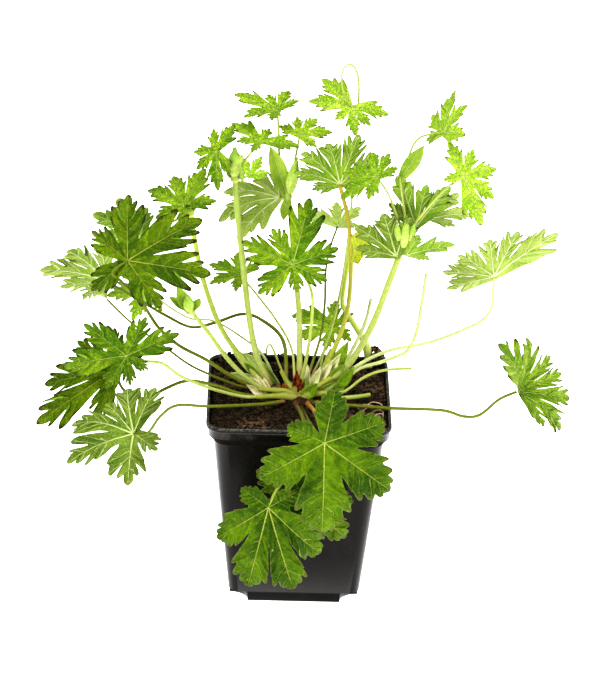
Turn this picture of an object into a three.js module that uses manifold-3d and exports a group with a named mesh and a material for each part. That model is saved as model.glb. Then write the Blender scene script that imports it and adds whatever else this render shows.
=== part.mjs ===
// A hardy geranium in a square nursery pot: black plastic pot, compost, a scaly rhizome, and from it
// long-stalked palmate leaves, leafy flowering stems with buds, young folded leaves and cut stubs.
// Millimetres, +Z up. The origin is the middle of the pot's foot, and the pot's sides face X and Y.
import * as THREE from "three";
import { mergeVertices } from "three/addons/utils/BufferGeometryUtils.js";
import Module from "manifold-3d";

const wasm = await Module();
wasm.setup();

// ---- Driving dimensions -------------------------------------------------------------------------

const GAP = 0.3; // clearance between neighbouring pieces
const WALL = 1.2; // thickness of the moulded pot
const BLADE = 0.7; // thickness of a leaf blade
const CORNER_STEPS = 4; // straight pieces round one corner of the pot
const TOLERANCE = 0.03; // slivers left by a join that are smaller than this are closed up

// The pot's outside, from the foot up: height, half width, and the radius of its corners.
const FOOT = { base: 0, top: 5, half: 31.8, scoop: 9, chamfer: 0.6 };
const POT_SIDES = [
  [5.2, 32.4, 6],
  [90.5, 41.3, 7.5],
  [93.5, 43.8, 8.5],
  [97.2, 44, 8.6],
  [97.8, 45, 9],
  [99.6, 45, 9],
  [100, 44.6, 8.8],
];
const POT_INSIDE = [
  [100, 43.6, 8.2],
  [94, 42.6, 8],
  [90, 40.1, 7.2],
  [6.4, 31.2, 5.4],
];
const LEDGE = 0.2; // height over which the inside widens from the foot to the walls
const FLOOR_TOP = 1.4; // upper face of the pot's floor, inside the foot
const DRAIN = { radius: 3.6, reach: 15, sides: 8, length: 8 };

// The compost: height at the rim, rise to the middle within a reach, half width and corner radius of
// its surface, its sides as those of the pot, the shares of the surface that have a ring of points,
// and the height of its lumps.
const SOIL = {
  rim: 96.6,
  mound: 1,
  reach: 42,
  half: 42.8,
  corner: 8,
  sides: [
    [6.8, 30.8, 5.2],
    [89.8, 39.7, 7],
    [93.8, 42.2, 7.8],
  ],
  rings: [1, 0.86, 0.68, 0.5, 0.3, 0.12],
  lump: 0.5,
};

// The rhizome: centre and half sizes of each knuckle.
const KNUCKLES = [
  [[0, -2, 97], [20, 8, 4.6]],
  [[-12, 0, 99], [7, 6, 4.6]],
  [[11, 0, 99], [7, 6, 4.6]],
  [[0, 2, 101], [5, 4.5, 6]],
  [[1, -11, 98], [5, 5, 4]],
];
// Papery scales that stand on the rhizome.
const SCALES = [
  { foot: [-3, 0, 102], tip: [-4, -2, 111], width: 4.5 },
  { foot: [-8, -1, 101], tip: [-8.5, -2, 107.5], width: 4 },
  { foot: [6, -1, 101], tip: [6.5, -2, 108], width: 4 },
];

// ---- Small geometry helpers ---------------------------------------------------------------------

const vec = (p) => new THREE.Vector3(...p);

// Position-only indexed geometry from a flat list of numbers and a list of triangles.
function geometryOf(points, triangles) {
  const geometry = new THREE.BufferGeometry();
  geometry.setAttribute("position", new THREE.Float32BufferAttribute(points, 3));
  geometry.setIndex(triangles);
  return geometry;
}

function solidOf(geometry) {
  const bare = geometry.clone();
  bare.deleteAttribute("normal");
  bare.deleteAttribute("uv");
  const merged = mergeVertices(bare, 1e-4);
  return new wasm.Manifold(
    new wasm.Mesh({
      numProp: 3,
      vertProperties: new Float32Array(merged.attributes.position.array),
      triVerts: new Uint32Array(merged.index.array),
    }),
  );
}

function geometryFrom(solid) {
  const mesh = solid.getMesh();
  return geometryOf(Array.from(mesh.vertProperties), Array.from(mesh.triVerts));
}

// The largest body of a solid, so that no scrap cut off by a trim stays.
function mainBody(solid) {
  const bodies = solid.simplify(TOLERANCE).decompose();
  return bodies.reduce((best, body) => (body.volume() > best.volume() ? body : best));
}

const fuse = (solids) => solids.reduce((all, next) => all.add(next));

// A repeatable number from 0 to 1 for a pair of whole numbers.
function chance(seed, index) {
  const wave = Math.sin(seed * 127.1 + index * 311.7) * 43758.5453;
  return wave - Math.floor(wave);
}

// Closed skin over a stack of rings with equally many points, capped at both ends round a middle.
function loft(rings) {
  const count = rings[0].length;
  const mean = (ring, axis) => ring.reduce((sum, point) => sum + point[axis], 0) / count;
  const middle = (ring) => [0, 1, 2].map((axis) => mean(ring, axis));
  const points = [...rings, [middle(rings[0]), middle(rings.at(-1))]].flat(2);
  const triangles = [];
  for (let level = 0; level + 1 < rings.length; level += 1) {
    for (let i = 0; i < count; i += 1) {
      const j = (i + 1) % count;
      const [a, b] = [level * count + i, level * count + j];
      const [c, d] = [a + count, b + count];
      triangles.push(a, b, d, a, d, c);
    }
  }
  const last = (rings.length - 1) * count;
  for (let i = 0; i < count; i += 1) {
    const j = (i + 1) % count;
    triangles.push(last + count, j, i, last + count + 1, last + i, last + j);
  }
  return geometryOf(points, triangles);
}

// ---- Pot ----------------------------------------------------------------------------------------

// One level of the pot: a square with its corners rounded, or scooped out as on its foot.
function squareRing(z, half, radius, scooped = false) {
  const ring = [];
  for (let corner = 0; corner < 4; corner += 1) {
    const turn = (corner * Math.PI) / 2;
    for (let step = 0; step <= CORNER_STEPS; step += 1) {
      const share = step / CORNER_STEPS;
      const angle = (share * Math.PI) / 2;
      const x = scooped ? half - radius * Math.sin(angle) : half - radius + radius * Math.cos(angle);
      const y = scooped ? half - radius * Math.cos(angle) : half - radius + radius * Math.sin(angle);
      ring.push([x * Math.cos(turn) - y * Math.sin(turn), x * Math.sin(turn) + y * Math.cos(turn), z]);
    }
  }
  return ring;
}

function makePot() {
  const foot = (z, inset) => squareRing(z, FOOT.half - inset, FOOT.scoop, true);
  const outside = [
    foot(FOOT.base, FOOT.chamfer),
    foot(FOOT.base + FOOT.chamfer, 0),
    foot(FOOT.top, 0),
    ...POT_SIDES.map((level) => squareRing(...level)),
  ];
  const inside = [
    ...POT_INSIDE.map((level) => squareRing(...level)),
    foot(POT_INSIDE.at(-1)[0] - LEDGE, WALL),
    foot(FLOOR_TOP, WALL),
  ];
  let pot = solidOf(loft([...outside, ...inside]));
  const drill = new THREE.CylinderGeometry(DRAIN.radius, DRAIN.radius, DRAIN.length, DRAIN.sides);
  drill.rotateX(Math.PI / 2);
  for (const [x, y] of [[1, 1], [-1, 1], [-1, -1], [1, -1]]) {
    pot = pot.subtract(solidOf(drill.clone().translate(x * DRAIN.reach, y * DRAIN.reach, 0)));
  }
  return pot;
}

// ---- Soil ---------------------------------------------------------------------------------------

// Height of the compost above its rim level at a place: a low mound with crumbs.
function crumbs(x, y) {
  const away = Math.min(Math.hypot(x, y) / SOIL.reach, 1);
  const broad = Math.sin(x * 0.31 + 1.3) * Math.cos(y * 0.37 - 0.6);
  const fine = 0.6 * Math.sin(x * 0.83 - y * 0.71);
  return SOIL.mound * Math.cos((away * Math.PI) / 2) + SOIL.lump * (broad + fine);
}

function makeSoil(crownSeat) {
  const foot = (z) => squareRing(z, FOOT.half - WALL - GAP, FOOT.scoop + GAP, true);
  const lower = [
    foot(FLOOR_TOP + GAP),
    foot(POT_INSIDE.at(-1)[0] + LEDGE),
    ...SOIL.sides.map((level) => squareRing(...level)),
  ];
  const surface = SOIL.rings.map((share) =>
    squareRing(SOIL.rim, SOIL.half * share, SOIL.corner * share).map(([x, y, z]) => [x, y, z + crumbs(x, y)]),
  );
  return solidOf(loft([...lower, ...surface])).subtract(crownSeat);
}

// ---- Rhizome ------------------------------------------------------------------------------------

function knuckle([centre, half], grow) {
  const ball = new THREE.IcosahedronGeometry(1, 1);
  ball.scale(...half.map((size) => size + grow));
  return solidOf(ball.translate(...centre));
}

const crownSkin = (grow) => fuse(KNUCKLES.map((one) => knuckle(one, grow)));

// ---- Leaf blades --------------------------------------------------------------------------------

// Lobes of an even blade: angle from the middle lobe in degrees, and length as a share of that one's.
const EVEN = [[-110, 0.7], [-55, 0.9], [0, 1], [55, 0.9], [110, 0.7]];

// Half the edge of a lobe, from the notch beside it to its tip, as the tips of its teeth and the clefts
// between them: share of the way out, half width, and the point of the rib that it fans out from.
const EDGES = {
  broad: [[0.27, 0.32, 1], [0.56, 0.31, 1], [0.5, 0.17, 1], [0.75, 0.2, 2], [0.72, 0.11, 2]],
  toothed: [[0.54, 0.27, 1], [0.73, 0.26, 1], [0.49, 0.11, 1], [0.84, 0.14, 2], [0.75, 0.07, 2]],
  plain: [[0.57, 0.25, 1], [0.43, 0.11, 1], [0.71, 0.12, 2]],
  small: [[0.57, 0.25, 1], [0.43, 0.11, 1]],
};
// The points of the rib between the joint and the tip: share out.
const RIBS = { broad: [0.45, 0.72], toothed: [0.42, 0.72], plain: [0.42, 0.7], small: [0.5] };
const INNER_NOTCH = 0.1; // depth of the notch where the stalk comes in
const SHOULDER = 0.8; // share of the cut from which the lobes beside that notch widen
const SPREAD = 0.9; // share of the gap to the next lobe that an edge may fill

// The frame of a blade: where it joins its stalk, and the directions ahead, to its left, and out of
// its upper face. The middle lobe ends at the given tip, so a face that leans over it makes a funnel.
function bladeFrame(leaf) {
  const joint = vec(leaf.stalk.at(-1));
  const face = vec(leaf.face).normalize();
  const reach = vec(leaf.tip).sub(joint);
  const size = reach.length();
  const rise = reach.dot(face) / size;
  const ahead = reach.clone().addScaledVector(face, -rise * size).normalize();
  const left = face.clone().cross(ahead);
  return { joint, face, ahead, left, size, rise, run: Math.sqrt(1 - rise * rise) };
}

// A point of the blade's upper face: share out, angle from the middle lobe, angle from its own lobe.
function bladePoint(leaf, frame, index, share, angle, own) {
  const out = frame.size * share;
  const free = Math.max(0, share - leaf.cut) / (1 - leaf.cut);
  const lift = leaf.lively * (chance(leaf.seed, index) - 0.5) * free * free;
  const height =
    out * frame.rise +
    frame.size *
      (leaf.arch * 4 * share * (1 - Math.min(share, 1)) +
        leaf.fold * share * Math.abs(Math.sin(own)) -
        leaf.curl * free * free +
        lift);
  return frame.joint
    .clone()
    .addScaledVector(frame.ahead, out * frame.run * Math.cos(angle))
    .addScaledVector(frame.left, out * frame.run * Math.sin(angle))
    .addScaledVector(frame.face, height);
}

// The blade as a thin solid: every lobe has a rib and two toothed edges, and both faces are split
// into the same triangles.
function makeBlade(leaf) {
  const frame = bladeFrame(leaf);
  const lobes = leaf.lobes.map(([degrees, share]) => ({ angle: THREE.MathUtils.degToRad(degrees), share }));
  const top = [bladePoint(leaf, frame, 0, 0, 0, 0)];
  const turn = 2 * Math.PI;
  function add(index, share, angle, own) {
    top.push(bladePoint(leaf, frame, index, share, angle, own));
    return top.length - 1;
  }
  const between = lobes.map((lobe, i) => {
    const next = lobes[(i + 1) % lobes.length];
    const half = ((next.angle - lobe.angle + turn) % turn) / 2;
    const behind = i === lobes.length - 1;
    const depth = behind ? INNER_NOTCH : (leaf.cut * (lobe.share + next.share)) / 2;
    return { half, depth, behind, index: add(i, depth, lobe.angle + half, half) };
  });
  const triangles = [];
  const rim = [];
  lobes.forEach((lobe, i) => {
    const ribs = RIBS[leaf.edge].map((share) => add(i, share * lobe.share, lobe.angle, 0));
    const tip = add(i, lobe.share, lobe.angle, 0);
    const notches = [between[(i + lobes.length - 1) % lobes.length], between[i]];
    const sides = notches.map((notch, side) => {
      const sign = side ? 1 : -1;
      const start = notch.depth * Math.cos(notch.half);
      const from = notch.behind ? Math.max(start, leaf.cut * lobe.share * SHOULDER) : start;
      const edge = EDGES[leaf.edge].map(([out, wide]) => {
        const along = from + (lobe.share - from) * out;
        const across = wide * lobe.share * leaf.wide;
        return { length: Math.hypot(along, across), own: Math.atan2(across, along) };
      });
      const widest = Math.max(...edge.map((point) => point.own));
      const squeeze = Math.min(1, (SPREAD * notch.half) / widest);
      const points = edge.map(({ length, own }) =>
        add(i, length, lobe.angle + sign * own * squeeze, own * squeeze),
      );
      return [notch.index, ...points, tip];
    });
    sides.forEach((side, at) => {
      const emit = (a, b, c) => triangles.push(a, ...(at ? [b, c] : [c, b]));
      fanOut([0, ...ribs, tip], side, EDGES[leaf.edge], emit);
    });
    rim.push(...sides[0].slice(0, -1), ...sides[1].slice(1).reverse());
  });
  return solidOf(thicken(top, triangles, rim));
}

// Triangles between a rib and an edge, both from the joint's side to the tip: each stretch of the edge
// fans out from one point of the rib, and where that point changes the rib's own stretch comes between.
function fanOut(rib, side, edge, emit) {
  const roots = [0, ...edge.map((point) => point[2]), rib.length - 1];
  for (let i = 1; i < side.length; i += 1) {
    if (roots[i] > roots[i - 1]) emit(rib[roots[i - 1]], rib[roots[i]], side[i - 1]);
    if (i < side.length - 1) emit(rib[roots[i]], side[i], side[i - 1]);
  }
}

// A thin solid under an open face: its underside is the face moved along its own normals.
function thicken(top, triangles, rim) {
  const normals = top.map(() => new THREE.Vector3());
  for (let i = 0; i < triangles.length; i += 3) {
    const [a, b, c] = triangles.slice(i, i + 3);
    const normal = top[b].clone().sub(top[a]).cross(top[c].clone().sub(top[a]));
    [a, b, c].forEach((index) => normals[index].add(normal));
  }
  const under = top.map((point, i) => point.clone().addScaledVector(normals[i].normalize(), -BLADE));
  const count = top.length;
  const faces = [...triangles];
  for (let i = 0; i < triangles.length; i += 3) {
    faces.push(triangles[i] + count, triangles[i + 2] + count, triangles[i + 1] + count);
  }
  rim.forEach((a, i) => {
    const b = rim[(i + 1) % rim.length];
    faces.push(a, b + count, b, a, a + count, b + count);
  });
  return geometryOf([...top, ...under].flatMap((point) => point.toArray()), faces);
}

// ---- Stalks, stems, buds and bracts -------------------------------------------------------------

const curveOf = (points) => new THREE.CatmullRomCurve3(points.map(vec), false, "catmullrom", 0.5);

function makeStalk(points, radius, sides, steps) {
  const section = new THREE.Shape(
    Array.from({ length: sides }, (_, i) => {
      const angle = (i / sides) * 2 * Math.PI;
      return new THREE.Vector2(radius * Math.cos(angle), radius * Math.sin(angle));
    }),
  );
  return solidOf(new THREE.ExtrudeGeometry(section, { steps, extrudePath: curveOf(points) }));
}

// A pointed scale, bract or folded young leaf with a raised keel. Each point of its outline has a
// share of its length, and a side and a lift as shares of its width.
const SCALE_POINTS = [
  [0, -0.2, 0],
  [0, 0.2, 0],
  [0.35, -0.5, 0.1],
  [0.35, 0.5, 0.1],
  [0.4, 0, -0.16],
  [0.75, -0.3, 0.1],
  [0.75, 0.3, 0.1],
  [1, 0, 0.05],
];
const SCALE_FACES = [0, 4, 1, 0, 2, 4, 1, 4, 3, 2, 5, 4, 4, 5, 7, 4, 7, 6, 3, 4, 6];
const SCALE_RIM = [0, 2, 5, 7, 6, 3, 1];

function makeScale({ foot, tip, width }, away) {
  const start = vec(foot);
  const along = vec(tip).sub(start);
  const across = vec(away).cross(along).normalize();
  const out = along.clone().cross(across).normalize();
  const top = SCALE_POINTS.map(([share, side, lift]) =>
    start
      .clone()
      .addScaledVector(along, share)
      .addScaledVector(across, side * width)
      .addScaledVector(out, lift * width),
  );
  return solidOf(thicken(top, SCALE_FACES, SCALE_RIM));
}

// A closed flower bud swells low down and draws out to a beak: shares of its width and its length.
const BUD = { profile: [[0, 0], [0.7, 0.05], [1, 0.35], [0.5, 0.75], [0, 1]], sides: 6 };

function makeBud({ foot, tip, width }) {
  const length = vec(tip).distanceTo(vec(foot));
  const profile = BUD.profile.map(([wide, high]) => new THREE.Vector2((wide * width) / 2, high * length));
  const bud = new THREE.LatheGeometry(profile, BUD.sides);
  const turn = new THREE.Quaternion().setFromUnitVectors(
    new THREE.Vector3(0, 1, 0),
    vec(tip).sub(vec(foot)).normalize(),
  );
  return solidOf(bud.applyQuaternion(turn).translate(...foot));
}

// ---- The leaves that rise from the rhizome ------------------------------------------------------

// How a blade is shaped unless its row says otherwise: depth of the cuts between its lobes, width of
// a lobe, arch, fold along each rib, curl of the tips, unevenness and edge. Its stalk has a radius, a
// number of sides, and so many straight pieces more than it has points.
const SHAPE = {
  cut: 0.3,
  wide: 1,
  arch: 0.04,
  fold: 0.16,
  curl: 0.1,
  lively: 0.25,
  edge: "toothed",
  radius: 0.85,
  sides: 5,
  extra: 2,
};
const YOUNG = { edge: "plain", radius: 0.6, sides: 4, extra: 0 };
const SMALL = { ...YOUNG, edge: "small", wide: 1.05 };

// Stalk from the rhizome to the blade, tip of the middle lobe, way the upper face looks, lobes, and
// what differs from SHAPE.
const LEAVES = [
  {
    name: "leaf_front_large",
    stalk: [[4, -14, 100.5], [7, -34, 106], [9, -50, 108], [12, -60, 101]],
    tip: [12, -74, 59],
    face: [0.05, -0.92, 0.36],
    lobes: [[-115, 0.45], [-60, 0.8], [0, 1], [55, 0.9], [110, 0.7], [170, 0.6]],
    cut: 0.42,
    wide: 1.1,
    edge: "broad",
    radius: 1,
  },
  {
    name: "leaf_front_low",
    stalk: [
      [-2, -14, 100.5], [1, -34, 104], [2, -47, 104.5], [1, -55, 98], [-5, -60, 85],
      [-11, -62, 75], [-14, -62, 67],
    ],
    tip: [-23, -68, 27],
    face: [0, -0.97, 0.16],
    lobes: [[-115, 0.4], [-45, 0.7], [0, 1], [30, 1.05], [60, 0.85], [135, 0.4]],
    cut: 0.42,
    wide: 1.05,
    edge: "broad",
    radius: 0.9,
  },
  {
    name: "leaf_front_under",
    stalk: [
      [1, -15, 99], [4, -36, 102], [6, -48, 101.8], [6, -53.5, 92], [4, -54, 81], [3, -54, 70],
    ],
    tip: [24, -57, 48],
    face: [0, -0.97, 0.2],
    lobes: [[-190, 0.8], [-160, 0.85], [-105, 0.8], [-45, 0.85], [0, 1], [40, 0.8]],
    cut: 0.42,
    edge: "broad",
  },
  {
    name: "leaf_left_low",
    stalk: [
      [-7, -9, 99], [-19, -20, 102], [-43, -30, 105], [-59, -34, 107], [-67, -36, 102],
      [-73, -36, 93], [-80, -33, 91],
    ],
    tip: [-113, -34, 77],
    face: [-0.25, 0.9, 0.3],
    lobes: [[-105, 0.6], [-65, 1.05], [0, 1], [50, 1], [80, 0.7], [105, 1], [135, 0.8]],
  },
  {
    name: "leaf_left_mid",
    stalk: [
      [-11, -6, 100], [-18, -9, 101], [-29, -13, 103], [-46, -20, 111], [-58, -26, 119],
      [-67, -27, 126], [-78, -25, 126], [-84, -24, 128],
    ],
    tip: [-116, -24, 122],
    face: [-0.1, -0.85, 0.5],
    lobes: [[-165, 0.85], [-125, 0.65], [-45, 0.8], [0, 1], [50, 0.6], [90, 0.45], [140, 0.4]],
    cut: 0.25,
    wide: 0.85,
  },
  {
    name: "leaf_left_outer",
    stalk: [
      [-17, -4, 98.6], [-29, -6, 101], [-42, -5, 105], [-55, -1, 105], [-66, 2, 99], [-73, 3, 94],
      [-80, 2, 94], [-87, -2, 101], [-90, -6, 112],
    ],
    tip: [-128, -11, 84],
    face: [-0.35, -0.7, 0.6],
    lobes: [[-175, 0.4], [-120, 0.45], [-70, 0.55], [-25, 0.8], [0, 1], [40, 0.55]],
    wide: 0.85,
  },
  {
    name: "leaf_left_high",
    stalk: [
      [-18, -1, 100], [-34, -4, 110], [-46, -6, 119], [-59, -8, 127], [-69, -10, 137],
      [-78, -16, 154], [-87, -26, 168], [-91, -29, 174], [-84, -22, 177],
    ],
    tip: [-44, -29, 174],
    face: [-0.1, -0.85, 0.5],
    lobes: [[-130, 0.55], [-45, 0.7], [0, 1], [40, 1], [100, 0.8], [150, 0.55]],
    wide: 0.95,
  },
  {
    name: "leaf_left_far",
    stalk: [
      [-6, 3, 100], [-8, 20, 118], [-19, 28, 126], [-29, 30, 128], [-42, 28, 124], [-54, 24, 123],
      [-67, 20, 131], [-79, 16, 140], [-95, 14, 151],
    ],
    tip: [-128, 4, 162],
    face: [-0.2, 0.9, 0.4],
    lobes: [[-70, 0.5], [-30, 0.65], [0, 1], [30, 0.9], [60, 0.65], [110, 0.45]],
  },
  {
    name: "leaf_left_pale",
    stalk: [
      [-10, 5, 99], [-18, 30, 106], [-30, 40, 112], [-43, 46, 117], [-55, 44, 119], [-67, 40, 128],
      [-76, 34, 139],
    ],
    tip: [-96, 31, 136],
    face: [0, -0.7, 0.7],
    lobes: EVEN,
    ...YOUNG,
  },
  {
    name: "leaf_left_curled",
    stalk: [
      [-15, 5, 98.8], [-28, 2, 101.2], [-42, 1, 107], [-54, 5, 111], [-65, 12, 116],
      [-74, 20, 119], [-84, 26, 124], [-92, 28, 131], [-96, 27, 136],
    ],
    tip: [-104, 22, 150],
    face: [-0.5, 0.3, 0.8],
    lobes: EVEN,
    ...SMALL,
  },
  {
    name: "leaf_mid_face",
    stalk: [[0.5, -1.5, 103], [3, -6, 120], [5, -8, 140], [5, -5, 154], [1, -3, 163], [-5, -8, 171]],
    tip: [3, 5, 201],
    face: [0.05, -0.9, 0.4],
    lobes: [[-155, 0.4], [-100, 0.55], [-55, 0.7], [0, 1], [45, 0.6], [80, 0.8], [145, 0.65]],
  },
  {
    name: "leaf_top_loop",
    stalk: [
      [4, 4, 101], [13, 24, 114], [19, 36, 134], [23, 46, 163], [25, 52, 198], [26, 52, 232],
      [25, 50, 248], [21, 46, 255], [17, 42, 252], [18, 38, 243], [22, 36, 236],
    ],
    tip: [24, 27, 225],
    face: [0, -0.75, 0.65],
    lobes: [[-150, 1.6], [-115, 1.5], [-60, 0.7], [0, 1], [40, 0.9], [80, 1.3]],
    ...YOUNG,
    extra: 9,
  },
  {
    name: "leaf_back_small",
    stalk: [[4, 3, 106], [10, 18, 121], [12, 26, 136], [12, 28, 153], [14, 27, 167], [17, 26, 178]],
    tip: [28, 22, 190],
    face: [0, 0.9, 0.35],
    lobes: [[-100, 1.1], [-45, 0.9], [0, 1], [50, 0.6]],
    ...SMALL,
  },
  {
    name: "leaf_mid_under",
    stalk: [[9, 4, 103], [17, 14, 117], [23, 18, 136], [24, 16, 161], [22, 12, 185], [17, 8, 207]],
    tip: [10, 2, 235],
    face: [0, 0.93, 0.3],
    lobes: [[-100, 0.5], [-60, 0.8], [-30, 0.95], [0, 1], [30, 1], [60, 0.85], [100, 0.6]],
  },
  {
    name: "leaf_right_far",
    stalk: [
      [16, 3, 100], [27, 12, 108], [43, 22, 113], [65, 28, 116], [81, 30, 122], [91, 30, 128],
      [95, 28, 136], [95, 26, 145], [95, 24, 154],
    ],
    tip: [125, 21, 179],
    face: [-0.1, 0.9, 0.4],
    lobes: [[-170, 0.65], [-140, 0.65], [-105, 0.6], [-60, 0.6], [-30, 0.75], [0, 1]],
  },
  {
    name: "leaf_right_low",
    stalk: [
      [8, -9.5, 99], [24, -17.5, 101.5], [44, -23, 103], [69, -24, 103], [80, -24, 100],
      [88, -24, 101], [97, -23, 109], [106, -22, 113],
    ],
    tip: [134, -13, 106],
    face: [0.75, -0.55, 0.35],
    lobes: [[-60, 0.7], [-30, 1.15], [0, 1], [30, 0.85], [60, 0.8], [105, 0.95], [150, 1.3]],
  },
  {
    name: "leaf_centre_dark",
    stalk: [[9, 6, 101], [12, 26, 108], [15, 36, 114], [17, 40, 118]],
    tip: [-5, 50, 122],
    face: [-0.2, -0.6, 0.75],
    lobes: [[-125, 0.5], [-70, 0.6], [0, 1], [40, 0.8], [100, 0.6], [160, 0.55]],
    ...YOUNG,
  },
  {
    name: "leaf_behind",
    stalk: [[-2, 7, 103], [-4, 22, 114], [-12, 36, 123], [-22, 42, 134], [-30, 40, 145]],
    tip: [-46, 49, 148],
    face: [0, -0.3, 0.95],
    lobes: EVEN,
    ...SMALL,
  },
  {
    name: "leaf_back_left",
    stalk: [[-5, 4.5, 99], [-10, 30, 102], [-14, 47, 104], [-16, 55, 98], [-16, 58, 88]],
    tip: [-19, 63, 64],
    face: [-0.1, 0.95, 0.3],
    lobes: EVEN,
    ...YOUNG,
  },
  {
    name: "leaf_back_right",
    stalk: [[6, 4.5, 99], [12, 28, 101], [16, 46, 102.5], [18, 54, 96], [18, 56, 76]],
    tip: [22, 62, 50],
    face: [0.1, 0.95, 0.3],
    lobes: EVEN,
    ...YOUNG,
  },
];

// ---- The flowering stems ------------------------------------------------------------------------

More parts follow.
